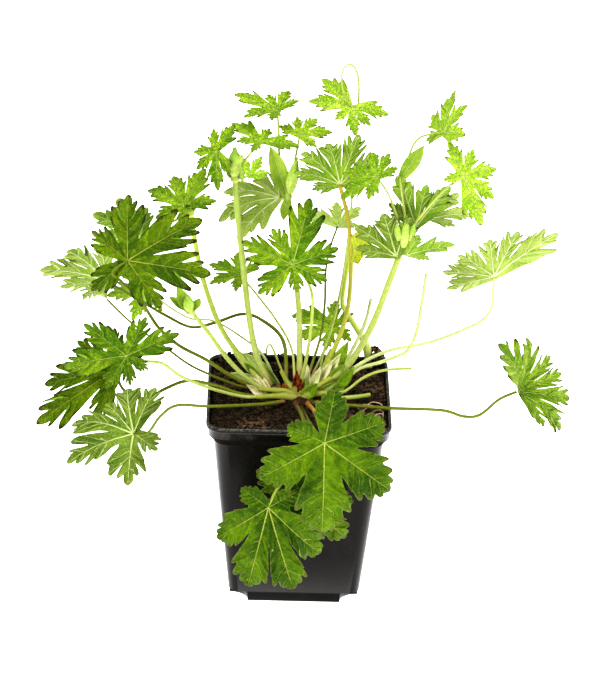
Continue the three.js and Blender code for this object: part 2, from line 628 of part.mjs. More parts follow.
// Each stem: its axis and radius, its leaves as rows like the ones above, its buds and its bracts.
const STEM_SIDES = 6;
const FIRST_SEED = 40; // seed of the first stem's first leaf
const BRACT_FACE = [0, -1, 0.2]; // the way that a bract's back looks
const STEMS = [
  {
    name: "stem_tall",
    radius: 1.5,
    axis: [
      [-14, 0, 102], [-21, 2, 118], [-25, 4, 136], [-29, 6, 166], [-32, 8, 190], [-34, 9, 210],
    ],
    leaves: [
      {
        stalk: [[-34, 9, 208], [-35, 7, 214], [-38, 6, 218], [-43, 4, 224]],
        tip: [-42, -5, 208],
        face: [-0.1, -0.85, 0.5],
        lobes: [[-215, 0.85], [-175, 0.6], [-90, 0.6], [-50, 0.7], [0, 1], [30, 0.7]],
      },
      {
        stalk: [[-34, 9, 209], [-29, 9, 218], [-22, 10, 227]],
        tip: [-36, 22, 233],
        face: [0, -0.35, 0.93],
        lobes: [[-150, 1], [-75, 0.5], [0, 1], [50, 0.6], [110, 0.5]],
      },
      {
        stalk: [[-34, 9, 208], [-30, 8, 209], [-27, 6, 211]],
        tip: [-21, 6, 221],
        face: [0, -0.95, 0.2],
        lobes: [[-45, 0.85], [0, 1], [45, 0.75]],
      },
    ],
    buds: [
      { foot: [-34, 9, 209], tip: [-34, 9, 225], width: 6.5 },
      { foot: [-31, 8, 221], tip: [-30, 8, 206], width: 3.6 },
    ],
    bracts: [
      { foot: [-34, 9, 208], tip: [-30, 6, 214], width: 3 },
      { foot: [-34, 9, 208], tip: [-38, 8, 213], width: 3 },
    ],
  },
  {
    name: "stem_middle",
    radius: 1.4,
    axis: [[0, 1, 106], [0, 6, 117], [-1, 12, 139], [-4, 16, 164], [-6, 18, 184], [-8, 18, 198]],
    leaves: [
      {
        stalk: [[-8, 18, 197], [-12, 22, 211], [-13, 24, 225], [-14, 24, 238]],
        tip: [-35, 34, 242],
        face: [-0.1, -0.25, 0.96],
        lobes: [[-130, 0.5], [-85, 0.65], [-40, 0.5], [0, 1], [50, 0.75], [105, 0.5]],
      },
      {
        stalk: [[-7, 18, 198], [-5, 22, 212], [-3, 23, 226]],
        tip: [13, 26, 228],
        face: [0, -0.6, 0.8],
        lobes: [[-50, 0.65], [0, 1], [40, 0.85], [85, 0.65], [140, 0.7]],
      },
      {
        stalk: [[-8, 18, 195], [-10, 20, 194], [-12, 22, 194]],
        tip: [-40, 19, 201],
        face: [-0.15, 0.93, 0.3],
        lobes: [[-65, 1.1], [-30, 1.1], [0, 1], [30, 0.65], [70, 0.65]],
      },
    ],
    buds: [
      { foot: [-7, 17, 198], tip: [-4, 12, 219], width: 5.5 },
    ],
    bracts: [
      { foot: [-8, 17, 196], tip: [-17, 9, 225], width: 10 },
      { foot: [-8, 17, 196], tip: [-10, 12, 186], width: 5 },
    ],
  },
  {
    name: "stem_right",
    radius: 1.6,
    axis: [[12, 0, 102], [25, 2, 116], [35, 2, 136], [42, 0, 159], [49, -2, 183], [50, -2, 188]],
    leaves: [
      {
        stalk: [[49, -2, 184], [44, -7, 198], [40, -10, 209], [34, -12, 219]],
        tip: [17, -19, 212],
        face: [0, -0.7, 0.7],
        lobes: [[-185, 0.55], [-145, 0.7], [-110, 0.65], [-35, 0.85], [0, 1], [40, 0.65]],
      },
      {
        stalk: [
          [50, -2, 186], [48, 3, 207], [49, 5, 221], [53, 7, 231], [60, 8, 234], [66, 8, 235],
        ],
        tip: [70, 22, 252],
        face: [-0.8, -0.3, 0.45],
        lobes: [[-105, 0.9], [-55, 0.85], [0, 1], [50, 0.8], [100, 0.6]],
      },
      {
        stalk: [[50, -2, 187], [54, -5, 194], [60, -7, 203], [68, -8, 213], [75, -8, 219]],
        tip: [85, -16, 197],
        face: [0.25, -0.85, 0.45],
        lobes: [[0, 1], [35, 0.75], [80, 0.7], [135, 0.55], [180, 0.7], [260, 0.4]],
      },
      {
        stalk: [[49, -2, 184], [52, -2, 188], [54, -2, 190]],
        tip: [44, -6, 218],
        face: [0, 0.95, 0.25],
        lobes: [[-30, 0.6], [0, 1], [30, 0.8], [55, 0.9]],
      },
      {
        stalk: [[50, -1, 184], [55, 2, 189], [61, 4, 192]],
        tip: [81, -1, 198],
        face: [0.2, 0.93, 0.3],
        lobes: [[-70, 0.7], [-35, 1.05], [0, 1], [35, 0.6]],
      },
      {
        stalk: [[48, -2, 180], [46, -5, 178], [45, -6, 176]],
        tip: [24, -14, 195],
        face: [-0.15, 0.93, 0.3],
        lobes: [[-30, 0.7], [0, 1], [30, 1.05], [60, 0.8]],
      },
      {
        stalk: [[48, -2, 180], [49, -3, 177], [50, -4, 176]],
        tip: [73, -8, 183],
        face: [0.1, 0.85, 0.5],
        lobes: [[-50, 0.6], [0, 1], [40, 0.5]],
      },
    ],
    buds: [
      { foot: [48, -5, 180], tip: [49, -9, 199], width: 5 },
      { foot: [46, -5, 183], tip: [44, -11, 196], width: 3.6 },
      { foot: [51, -5, 183], tip: [53, -9, 195], width: 3.6 },
    ],
    bracts: [
      { foot: [45, -6, 215], tip: [56, -6, 233], width: 7 },
      { foot: [12, 0, 102], tip: [22, -1, 116], width: 5 },
    ],
    twigs: [[[50, -2, 187], [47, -5, 204], [45, -6, 217]]],
  },
  {
    name: "stem_left",
    radius: 1.3,
    axis: [
      [-17, 3, 101], [-27, 8, 112], [-39, 10, 129], [-48, 10, 154], [-53, 9, 178], [-55, 8, 192],
    ],
    leaves: [
      {
        stalk: [[-55, 8, 191], [-57, 6, 193], [-58, 4, 195]],
        tip: [-76, 14, 202],
        face: [0, -0.6, 0.8],
        lobes: [[-130, 0.75], [-80, 1.1], [-40, 0.95], [0, 1], [60, 0.7], [120, 0.5]],
      },
      {
        stalk: [[-55, 8, 190], [-62, 6, 187], [-70, 5, 184], [-79, 5, 178]],
        tip: [-102, -3, 194],
        face: [-0.2, 0.93, 0.3],
        lobes: [[-60, 0.6], [-30, 0.7], [0, 1], [30, 0.95], [65, 0.6]],
      },
    ],
    buds: [],
    bracts: [
      { foot: [-55, 8, 190], tip: [-57, 2, 197], width: 4 },
      { foot: [-55, 8, 190], tip: [-52, 3, 200], width: 4 },
      { foot: [-17, 3, 101], tip: [-27, 5, 113], width: 4 },
    ],
  },
  {
    name: "stem_low",
    radius: 1.1,
    axis: [[-14, -4, 101.5], [-24, -8, 109], [-35, -12, 122], [-45, -16, 138], [-54, -19, 151]],
    leaves: [],
    buds: [
      { foot: [-54, -19, 150], tip: [-55, -22, 160], width: 5 },
    ],
    bracts: [
      { foot: [-54, -19, 149], tip: [-60, -22, 164], width: 6 },
      { foot: [-53, -18, 150], tip: [-49, -22, 158], width: 4 },
      { foot: [-54, -19, 150], tip: [-64, -20, 158], width: 4 },
    ],
  },
];

// Stalks without a blade: cut short, withered, or young.
const BARE = [
  {
    name: "stalk_bent_right",
    radius: 0.9,
    axis: [
      [17, -1, 100], [28, 5, 110], [40, 9, 113], [48, 10, 116], [53, 10, 119], [57, 12, 127],
      [59, 14, 139], [61, 16, 158],
    ],
  },
  {
    name: "stalk_withered",
    radius: 0.7,
    axis: [[15, -4, 100], [23, -6, 104], [31, -4, 110], [39, -2, 113], [47, -1, 114], [55, 0, 114]],
  },
  {
    name: "stalk_cut",
    radius: 1.1,
    axis: [[12, -6, 99.5], [19, -9, 101.2], [27, -10, 102.5], [35, -10, 104]],
  },
  {
    name: "stalk_thin",
    radius: 0.6,
    axis: [[13, 6, 99], [24, 20, 110], [32, 27, 125], [35, 30, 138]],
  },
];

// ---- Assembly -----------------------------------------------------------------------------------

const FINISHES = {
  plastic: { color: 0x1c1b1c, roughness: 0.45 },
  compost: { color: 0x2a1d15, roughness: 0.95 },
  rhizome: { color: 0x6e3018, roughness: 0.7 },
  leaf: { color: 0x4f8a1c, roughness: 0.5 },
  stem: { color: 0x8fb52c, roughness: 0.5 },
};

const plant = new THREE.Group();
const skin = crownSkin(GAP);

function place(name, solid, finish) {
  const material = new THREE.MeshStandardMaterial({ ...FINISHES[finish], metalness: 0 });
  const mesh = new THREE.Mesh(geometryFrom(mainBody(solid)), material);
  mesh.name = name;
  plant.add(mesh);
}

// A blade on its stalk. The seed sets the unevenness of its lobes.
function makeLeaf(row, seed) {
  const leaf = { ...SHAPE, seed, ...row };
  const stalk = makeStalk(leaf.stalk, leaf.radius, leaf.sides, leaf.stalk.length + leaf.extra);
  return makeBlade(leaf).add(stalk);
}

place("pot", makePot(), "plastic");
place("soil", makeSoil(skin), "compost");
place("rhizome", fuse([crownSkin(0), ...SCALES.map((scale) => makeScale(scale, [0, 0, 1]))]), "rhizome");

LEAVES.forEach((row, i) => {
  place(row.name, makeLeaf(row, i + 1).subtract(skin), "leaf");
});

STEMS.forEach((stem, i) => {
  const parts = [
    makeStalk(stem.axis, stem.radius, STEM_SIDES, stem.axis.length),
    ...stem.leaves.map((row, at) => makeLeaf({ ...row, ...SMALL }, FIRST_SEED + 10 * i + at)),
    ...stem.buds.map(makeBud),
    ...stem.bracts.map((bract) => makeScale(bract, BRACT_FACE)),
    ...(stem.twigs ?? []).map((points) => makeStalk(points, SMALL.radius, SMALL.sides, points.length)),
  ];
  place(stem.name, fuse(parts).subtract(skin), "stem");
});

BARE.forEach(({ name, axis, radius }) => {
  const stalk = makeStalk(axis, radius, SHAPE.sides, axis.length + SHAPE.extra);
  place(name, stalk.subtract(skin), "stem");
});

export default plant;
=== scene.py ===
"""A hardy geranium in its square nursery pot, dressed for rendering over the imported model."""
import math

import bmesh
import bpy
import numpy as np
from mathutils import Matrix, Vector


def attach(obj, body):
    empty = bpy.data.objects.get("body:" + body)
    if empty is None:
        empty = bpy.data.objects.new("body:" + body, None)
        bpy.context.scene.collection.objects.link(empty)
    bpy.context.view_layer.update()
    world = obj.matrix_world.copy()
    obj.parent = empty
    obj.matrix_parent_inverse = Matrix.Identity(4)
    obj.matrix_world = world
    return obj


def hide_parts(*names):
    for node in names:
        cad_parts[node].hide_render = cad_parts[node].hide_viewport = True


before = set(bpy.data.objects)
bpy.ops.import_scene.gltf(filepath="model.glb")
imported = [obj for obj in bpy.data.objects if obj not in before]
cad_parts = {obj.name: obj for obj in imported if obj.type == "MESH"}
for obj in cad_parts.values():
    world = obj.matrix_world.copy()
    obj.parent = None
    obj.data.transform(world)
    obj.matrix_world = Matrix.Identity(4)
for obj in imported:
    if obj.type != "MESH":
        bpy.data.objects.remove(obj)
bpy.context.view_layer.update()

# ---- Floor, light and camera --------------------------------------------------------------------
# The pot stands on a plain white studio floor in soft light: a large lamp in front on the left, a
# weaker one on the right and one overhead. The camera looks down on it from the front.

MM = 0.001
CORNERS = ((1, 1), (-1, 1), (-1, -1), (1, -1))
FLOOR_REACH = 6000
FLOOR_PAINT = {
    "Base Color": (0.93, 0.93, 0.93, 1), "Roughness": 0.9,
    "Emission Color": (1, 1, 1, 1), "Emission Strength": 1.15,
}
BACKDROP_LIGHT = 0.2
LAMP_AIM = Vector((0, 0, 0.12))
# Place, width and power of each.
LAMPS = {
    "lamp_left": ((-1.0, -1.3, 1.3), 0.7, 24),
    "lamp_right": ((1.3, -0.7, 0.8), 0.6, 9),
    "lamp_top": ((0.1, 0.2, 1.7), 0.8, 16),
}
LOOK = dict(azimuth=-1.0, elevation=24.0, distance=1.75, height=0.112, roll=1.75, lens=178.46)


def show(name, data):
    """Puts a mesh, lamp or camera in the scene."""
    thing = bpy.data.objects.new(name, data)
    bpy.context.collection.objects.link(thing)
    return thing


def new_piece(name, points, faces, smooth=True):
    """A mesh object in metres from points in millimetres."""
    mesh = bpy.data.meshes.new(name)
    mesh.from_pydata([tuple(p) for p in np.asarray(points, float) * MM], [], [tuple(f) for f in faces])
    mesh.polygons.foreach_set("use_smooth", [smooth] * len(mesh.polygons))
    return show(name, mesh)


floor_corners = [(east * FLOOR_REACH, north * FLOOR_REACH, 0) for east, north in CORNERS]
floor = new_piece("studio_floor", floor_corners, [(0, 1, 2, 3)])
floor_paint = bpy.data.materials.new("studio_floor")
floor_paint.use_nodes = True
for key, value in FLOOR_PAINT.items():
    floor_paint.node_tree.nodes["Principled BSDF"].inputs[key].default_value = value
floor.data.materials.append(floor_paint)

# The backdrop looks white, but it lights the plant with only part of that strength, so that the lamps
# give the leaves their light and shade.
world = bpy.data.worlds.new("studio")
world.use_nodes = True
backdrop = world.node_tree.nodes["Background"]
backdrop.inputs["Color"].default_value = (1, 1, 1, 1)
seen = world.node_tree.nodes.new("ShaderNodeLightPath")
strength = world.node_tree.nodes.new("ShaderNodeMapRange")
strength.inputs["To Min"].default_value = BACKDROP_LIGHT
world.node_tree.links.new(seen.outputs["Is Camera Ray"], strength.inputs["Value"])
world.node_tree.links.new(strength.outputs["Result"], backdrop.inputs["Strength"])
bpy.context.scene.world = world
bpy.context.scene.view_settings.view_transform = "Standard"
bpy.context.scene.view_settings.look = "High Contrast"

for lamp_name, (place, width, power) in LAMPS.items():
    lamp = show(lamp_name, bpy.data.lights.new(lamp_name, "AREA"))
    lamp.data.shape = "DISK"
    lamp.data.size = width
    lamp.data.energy = power
    lamp.location = place
    lamp.rotation_euler = (LAMP_AIM - Vector(place)).to_track_quat("-Z", "Y").to_euler()

turn, tilt, roll = (math.radians(LOOK[key]) for key in ("azimuth", "elevation", "roll"))
right = Vector((math.cos(turn), math.sin(turn), 0))
back = Vector((math.sin(turn) * math.cos(tilt), -math.cos(turn) * math.cos(tilt), math.sin(tilt)))
up = back.cross(right)
axes = (right * math.cos(roll) + up * math.sin(roll), up * math.cos(roll) - right * math.sin(roll), back)
camera = show("camera", bpy.data.cameras.new("camera"))
camera.matrix_world = Matrix.Translation(back * LOOK["distance"] + up * LOOK["height"]) @ Matrix(
    [[axis[row] for axis in axes] for row in range(3)]
).to_4x4()
camera.data.lens = LOOK["lens"]
camera.data.sensor_width = 36
bpy.context.scene.camera = camera

# ---- Pot ----------------------------------------------------------------------------------------
# A thin square nursery pot moulded in black polypropylene: it tapers to a foot whose corners are
# scooped out, has a thick rim band, and four drainage holes in its floor. Its plastic is satin, with
# fine scuffs and a dusting of dried compost below the rim.

# Height, half width and corner radius of each level, up the outside, over the lip and down inside.
# The corners marked True are scooped.
POT_LEVELS = [
    (0, 31, 9, True), (0.2, 31.5, 9, True), (0.8, 31.8, 9, True), (4.7, 31.9, 9, True),
    (5.05, 31.9, 8.8, True), (5.3, 32, 6), (5.6, 32.4, 6), (30, 35, 6.4), (60, 38.1, 6.9), (89.8, 41.2, 7.4),
    (90.6, 41.5, 7.5), (93, 43.6, 8.4), (93.6, 43.9, 8.5), (97, 44.05, 8.6), (97.4, 44.3, 8.7),
    (97.8, 44.8, 8.9), (98.2, 45, 9), (99.3, 45, 9), (99.8, 44.8, 8.9), (100, 44.4, 8.7), (99.95, 43.8, 8.3),
    (99.6, 43.5, 8.2), (94, 42.6, 8), (90, 40.1, 7.2), (6.4, 31.2, 5.4), (6.2, 30.6, 9, True),
    (1.4, 30.6, 9, True),
]
CORNER_STEPS = 10
QUARTER_TURNS = ((1, 0), (0, 1), (-1, 0), (0, -1))
DRAIN = dict(radius=3.6, reach=15, sides=24, depth=8)
# The underside of the rim band is dull.
DULL_BAND = (89.8, 93.8)


class Amount:
    """A number that varies over a surface. Sums and products of it become Math nodes."""

    def __init__(self, finish, socket):
        self.finish = finish
        self.socket = socket

    def math(self, operation, *others):
        return self.finish.node("Math", {"operation": operation}, dict(enumerate((self, *others))))

    def __add__(self, other):
        return self.math("ADD", other)

    def __mul__(self, other):
        return self.math("MULTIPLY", other)

    def __sub__(self, other):
        return self.math("SUBTRACT", other)

    def __rsub__(self, other):
        return self * -1 + other

    def __truediv__(self, other):
        return self.math("DIVIDE", other)

    def __abs__(self):
        return self.math("ABSOLUTE")

    __radd__ = __add__
    __rmul__ = __mul__

    def step(self, low, high):
        """0 below low, 1 above high, and smooth between, or the other way round where low > high."""
        sockets = {
            "Value": self, "From Min": min(low, high), "From Max": max(low, high),
            "To Min": float(low > high), "To Max": float(low < high),
        }
        return self.finish.node("MapRange", {"interpolation_type": "SMOOTHSTEP"}, sockets, "Result")


class Finish:
    """One material: a Principled shader whose constants are set on its own sockets."""

    def __init__(self, name, gloss, roughness=0.5, tint=(1, 1, 1)):
        self.material = bpy.data.materials.new(name)
        self.material.use_nodes = True
        self.tree = self.material.node_tree
        self.wear({"Specular IOR Level": gloss, "Roughness": roughness, "Specular Tint": tint})

    def feed(self, inputs, values):
        for key, value in values.items():
            if isinstance(value, Amount):
                self.tree.links.new(value.socket, inputs[key])
            elif isinstance(value, tuple) and inputs[key].type == "RGBA":
                inputs[key].default_value = (*value, 1)
            else:
                inputs[key].default_value = value

    def node(self, kind, settings, sockets, out=0):
        made = self.tree.nodes.new("ShaderNode" + kind)
        for key, value in settings.items():
            setattr(made, key, value)
        self.feed(made.inputs, sockets)
        return Amount(self, made.outputs[out])

    def wear(self, values):
        self.feed(self.tree.nodes["Principled BSDF"].inputs, values)

    def place(self):
        return self.node("TexCoord", {}, {}, "Object")

    def part(self, vector, axis):
        return self.node("SeparateXYZ", {}, {"Vector": vector}, axis)

    def noise(self, scale, detail):
        return self.node("TexNoise", {}, {"Vector": self.place(), "Scale": scale, "Detail": detail})

    def attribute(self, name):
        return self.node("Attribute", {"attribute_name": name}, {}, "Fac")

    def colour(self, tone, *coats):
        """A tone with coats laid over it in turn, each a share and a colour."""
        for share, coat in coats:
            tone = self.node("Mix", {"data_type": "RGBA"}, {0: share, 6: tone, 7: coat}, 2)
        self.wear({"Base Color": tone})

    def rough(self, value):
        self.wear({"Roughness": value})

    def bump(self, height, depth):
        self.wear({"Normal": self.node("Bump", {}, {"Strength": 1, "Distance": depth, "Height": height})})


def dress(piece, *finishes):
    """Gives a piece its finishes."""
    for finish in finishes:
        piece.data.materials.append(finish.material)
    return piece


def settle(piece):
    """Makes a piece's modifiers part of its mesh."""
    evaluated = piece.evaluated_get(bpy.context.evaluated_depsgraph_get())
    mesh = bpy.data.meshes.new_from_object(evaluated)
    piece.modifiers.clear()
    piece.data = mesh
    return piece


def seat(piece, slot, *nodes):
    """Fixes a finished piece to the plant and hides the imported parts that it takes the place of."""
    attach(piece, "root")
    if nodes:
        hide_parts(*nodes)


def square_ring(z, half, radius, scooped=False, spans=1):
    """One level of a square with rounded or scooped corners; spans splits its straight sides."""
    inner = half - radius
    local = []
    for step in range(CORNER_STEPS + 1):
        angle = step / CORNER_STEPS * math.pi / 2
        if scooped:
            local.append((half - radius * math.sin(angle), half - radius * math.cos(angle)))
        else:
            local.append((inner + radius * math.cos(angle), inner + radius * math.sin(angle)))
    start, end = np.array(local[-1]), np.array((-local[0][1], local[0][0]))
    for span in range(1, spans):
        local.append(tuple(start * (1 - span / spans) + end * (span / spans)))
    return [(x * c - y * s, x * s + y * c, z) for c, s in QUARTER_TURNS for x, y in local]


def skin(rings):
    """Faces and points of a closed skin over rings of equal length, capped round a middle."""
    count = len(rings[0])
    points = [p for ring in rings for p in ring]
    faces = []
    for level in range(len(rings) - 1):
        for i in range(count):
            j = (i + 1) % count
            a, b = level * count + i, level * count + j
            faces.append((a, b, b + count, a + count))
    first = len(points)
    points.append(tuple(np.mean(rings[0], axis=0)))
    points.append(tuple(np.mean(rings[-1], axis=0)))
    last = (len(rings) - 1) * count
    for i in range(count):
        j = (i + 1) % count
        faces.append((first, j, i))
        faces.append((first + 1, last + i, last + j))
    return points, faces


pot = new_piece("nursery_pot", *skin([square_ring(*level) for level in POT_LEVELS]))
holes = []
for east, north in CORNERS:
    bpy.ops.mesh.primitive_cylinder_add(
        vertices=DRAIN["sides"], radius=DRAIN["radius"] * MM, depth=DRAIN["depth"] * MM,
        location=(east * DRAIN["reach"] * MM, north * DRAIN["reach"] * MM, 0))
    holes.append(bpy.context.object)
for hole in holes:
    cut = pot.modifiers.new("drain", "BOOLEAN")
    cut.object = hole
    cut.solver = "EXACT"
settle(pot)
for hole in holes:
    bpy.data.objects.remove(hole)
pot.data.shade_smooth()
edge = pot.modifiers.new("corners", "EDGE_SPLIT")
edge.split_angle = math.radians(50)
settle(pot)

plastic = Finish("black_plastic", 1, tint=(0.14, 0.14, 0.14))
grain = plastic.noise(900, 3)
scuffs = plastic.noise(60, 5).step(0.5, 0.75)
height_up = plastic.part(plastic.place(), "Z")
dust = plastic.noise(140, 4).step(0.52, 0.72) * height_up.step(0.088, 0.099) * 0.5
# The top of the lip is painted light grey: a painted highlight along the rim's edge that also stands for
# wear.
lip_highlight_and_wear = height_up.step(0.0986, 0.0996) * grain.step(0.3, 0.6) * 0.6
plastic.colour((0.006, 0.0048, 0.004), (scuffs * 0.5, (0.016, 0.014, 0.012)), (dust, (0.085, 0.06, 0.045)),
               (lip_highlight_and_wear, (0.16, 0.155, 0.145)))
plastic.rough(0.16 + grain * 0.1 + dust * 0.3)
plastic.bump(grain + scuffs * 0.4, 0.00006)
dull = Finish("dull_plastic", 0.06, 0.7)
dull.colour((0.006, 0.005, 0.004))
pot.data.materials.clear()
dress(pot, plastic, dull)
for face in pot.data.polygons:
    if DULL_BAND[0] * MM < face.center.z < DULL_BAND[1] * MM:
        face.material_index = 1
seat(pot, "pot", "pot")

# ---- Compost ------------------------------------------------------------------------------------
# Dark peat compost fills the pot to just below the rim. Its surface is lumpy, with loose crumbs and
# tan fibres lying on it and a heap of crumbs at the back right corner.

SOIL = dict(rim=96.6, mound=1, reach=42, half=42.8, corner=8, lump=0.5)
SOIL_RINGS = 64
SOIL_SPANS = 14
# Levels below the rim, as those of the pot.
SOIL_LEVELS = [
    (1.7, 30.3, 9.3, True), (6.6, 30.3, 9.3, True), (6.8, 30.8, 5.2), (89.8, 39.7, 7), (93.8, 42.2, 7.8),
]
# Crumbs and fibres lie above this height, in metres, and fibres inside this distance of the middle.
SOIL_TOP = 0.0945
FIBRE_REACH = 0.041
FIBRE_PARTS = 6
FIBRE_SIDES = (0, 2.1, 4.2)
CRUMB_STRETCH = (1, 1, 0.75)


def lattice(x, y, size, seed):
    """Smooth noise from -1 to 1 on a plane, with lumps of about the given size."""
    def corner(i, j):
        wave = np.sin(i * 127.1 + j * 311.7 + seed * 74.7) * 43758.5453
        return 2 * (wave - np.floor(wave)) - 1

    u, v = x / size, y / size
    i, j = np.floor(u), np.floor(v)
    a, b = u - i, v - j
    a, b = a * a * (3 - 2 * a), b * b * (3 - 2 * b)
    near = corner(i, j) * (1 - a) + corner(i + 1, j) * a
    far = corner(i, j + 1) * (1 - a) + corner(i + 1, j + 1) * a
    return near * (1 - b) + far * b


def soil_height(x, y):
    """Height of the compost above its rim level: a low mound with lumps and crumbs."""
    away = np.minimum(np.hypot(x, y) / SOIL["reach"], 1)
    broad = np.sin(x * 0.31 + 1.3) * np.cos(y * 0.37 - 0.6) + 0.6 * np.sin(x * 0.83 - y * 0.71)
    rough = 0.55 * np.abs(lattice(x, y, 2.6, 1)) + 0.35 * lattice(x, y, 1.3, 2) + 0.2 * lattice(x, y, 0.7, 3)
    return SOIL["mound"] * np.cos(away * math.pi / 2) + SOIL["lump"] * broad + rough - 0.2


soil_rings = [square_ring(*level, spans=SOIL_SPANS) for level in SOIL_LEVELS]
for number in range(SOIL_RINGS):
    share = 1 - number / SOIL_RINGS
    level = square_ring(SOIL["rim"], SOIL["half"] * share, SOIL["corner"] * share, spans=SOIL_SPANS)
    soil_rings.append([(x, y, z + soil_height(x, y)) for x, y, z in level])
soil = new_piece("compost", *skin(soil_rings))

compost = Finish("peat_compost", 0.2)
clods = compost.noise(420, 5)
flecks = compost.noise(1500, 3)
damp = compost.noise(38, 2).step(0.4, 0.6)
compost.colour((0.008, 0.0055, 0.004), (clods.step(0.42, 0.6), (0.135, 0.084, 0.047)),
               (damp * 0.75, (0.01, 0.006, 0.0045)), (flecks.step(0.62, 0.72) * 0.75, (0.36, 0.22, 0.11)))
compost.rough(0.98 - flecks * 0.12)
compost.bump(clods + flecks * 0.6, 0.0006)
seat(dress(soil, compost), "soil", "soil")


def built(name, build):
    """A piece from a mesh that was built up in parts."""
    mesh = bpy.data.meshes.new(name)
    build.to_mesh(mesh)
    build.free()
    return show(name, mesh)


def crumb(name, size, seed, stretch):
    """A lumpy grain of compost about a middle, of few faces."""
    lump = bmesh.new()
    bmesh.ops.create_icosphere(lump, subdivisions=1, radius=size * MM)
    draw = np.random.default_rng(seed)
    for vertex in lump.verts:
        vertex.co *= draw.uniform(0.6, 1.25)
        vertex.co = Vector(vertex.co[i] * stretch[i] for i in range(3))
    return built(name, lump)


def bent_fibre(name, length, radius, seed):
    """A thin bent fibre that lies flat."""
    draw = np.random.default_rng(seed)
    bends = draw.normal((1, 0, 0), (0.2, 0.45, 0.16), (FIBRE_PARTS, 3))
    spots = np.cumsum(np.vstack([(0, 0, 0), bends]), axis=0)
    spots = (spots - spots.mean(axis=0)) * length / FIBRE_PARTS
    rings = []
    for number, (x, y, z) in enumerate(spots):
        thin = radius * (0.35 if number in (0, FIBRE_PARTS) else 1)
        rings.append([(x, y + thin * math.cos(a), z + thin * math.sin(a)) for a in FIBRE_SIDES])
    return new_piece(name, *skin(rings), smooth=False)


def scatter(name, ground, thing, finish, **own):
    """Geometry Nodes that strew copies of a thing over the faces of a ground.

    Floor is the lowest height and Edge the greatest distance from the middle at which they lie, in
    metres, and Tilt is how far they lean, in radians.
    """
    amounts = {"Edge": 1, "Smallest": 0.5, "Tilt": 3.14, "Spin": 6.28, **own}
    tree = bpy.data.node_groups.new(name, "GeometryNodeTree")
    tree.interface.new_socket("Ground", in_out="INPUT", socket_type="NodeSocketGeometry")
    identifiers = {}
    for key in amounts:
        socket = tree.interface.new_socket(key, in_out="INPUT", socket_type="NodeSocketFloat")
        identifiers[key] = socket.identifier
    tree.interface.new_socket("Geometry", in_out="OUTPUT", socket_type="NodeSocketGeometry")

    def add(kind, settings, sockets):
        made = tree.nodes.new(kind)
        for key, value in settings.items():
            setattr(made, key, value)
        for key, value in sockets.items():
            if isinstance(value, bpy.types.NodeSocket):
                tree.links.new(value, made.inputs[key])
            else:
                made.inputs[key].default_value = value
        return made.outputs

    entry = add("NodeGroupInput", {}, {})
    where = add("GeometryNodeInputPosition", {}, {})[0]
    height = add("ShaderNodeSeparateXYZ", {}, {0: where})[2]
    high = add("FunctionNodeCompare", {"operation": "GREATER_THAN"}, {0: height, 1: entry["Floor"]})[0]
    flat = add("ShaderNodeVectorMath", {"operation": "MULTIPLY"}, {0: where, 1: (1, 1, 0)})[0]
    reach = add("ShaderNodeVectorMath", {"operation": "LENGTH"}, {0: flat})["Value"]
    near = add("FunctionNodeCompare", {"operation": "LESS_THAN"}, {0: reach, 1: entry["Edge"]})[0]
    both = add("FunctionNodeBooleanMath", {"operation": "AND"}, {0: high, 1: near})[0]
    spots = add("GeometryNodeDistributePointsOnFaces", {},
                {"Mesh": entry["Ground"], "Selection": both, "Density": entry["Density"], "Seed": 7})
    most = add("ShaderNodeCombineXYZ", {}, {"X": entry["Tilt"], "Y": entry["Tilt"], "Z": entry["Spin"]})[0]
    least = add("ShaderNodeVectorMath", {"operation": "MULTIPLY"}, {0: most, 1: (-1, -1, 0)})[0]
    swing = add("FunctionNodeRandomValue", {"data_type": "FLOAT_VECTOR"}, {0: least, 1: most, "Seed": 11})[0]
    turned = add("FunctionNodeEulerToRotation", {}, {0: swing})[0]
    local = {"rotation_space": "LOCAL"}
    lean = add("FunctionNodeRotateRotation", local, {0: spots["Rotation"], 1: turned})[0]
    size = add("FunctionNodeRandomValue", {"data_type": "FLOAT"},
               {2: entry["Smallest"], 3: entry["Largest"], "Seed": 5})[1]
    model = add("GeometryNodeObjectInfo", {}, {"Object": thing})["Geometry"]
    copies = add("GeometryNodeInstanceOnPoints", {},
                 {"Points": spots["Points"], "Instance": model, "Rotation": lean, "Scale": size})[0]
    real = add("GeometryNodeRealizeInstances", {}, {"Geometry": copies})[0]
    dressed = add("GeometryNodeSetMaterial", {}, {"Geometry": real, "Material": finish.material})[0]
    add("NodeGroupOutput", {}, {0: dressed})

    piece = show(name, ground.data.copy())
    piece.data.materials.clear()
    modifier = piece.modifiers.new("strew", "NODES")
    modifier.node_group = tree
    for key, value in amounts.items():
        modifier[identifiers[key]] = float(value)
    settle(piece)
    bpy.data.objects.remove(thing)
    return piece


grit = Finish("compost_crumbs", 0.2, 0.95)
grit.colour((0.008, 0.0055, 0.004), (grit.noise(700, 2).step(0.4, 0.66), (0.2, 0.13, 0.075)),
            (grit.noise(38, 2).step(0.4, 0.6) * 0.75, (0.014, 0.009, 0.006)))
grit.bump(grit.noise(2500, 3), 0.0003)
# Size and density, in each square metre, of the small, middling and big crumbs.
for number, (size, density) in enumerate(((0.5, 2.2e5), (0.95, 5.5e4), (1.6, 6e3))):
    grain = crumb("grain", size, number, CRUMB_STRETCH)
    crumbs = scatter(f"crumbs_{number}", soil, grain, grit, Density=density, Floor=SOIL_TOP, Largest=1.35)
    seat(crumbs, "soil")

straw = Finish("tan_fibre", 0.3, 0.8)
straw.colour((0.16, 0.08, 0.035), (straw.noise(300, 2).step(0.35, 0.65), (0.42, 0.27, 0.14)))
straw.bump(straw.noise(4000, 2), 0.0001)
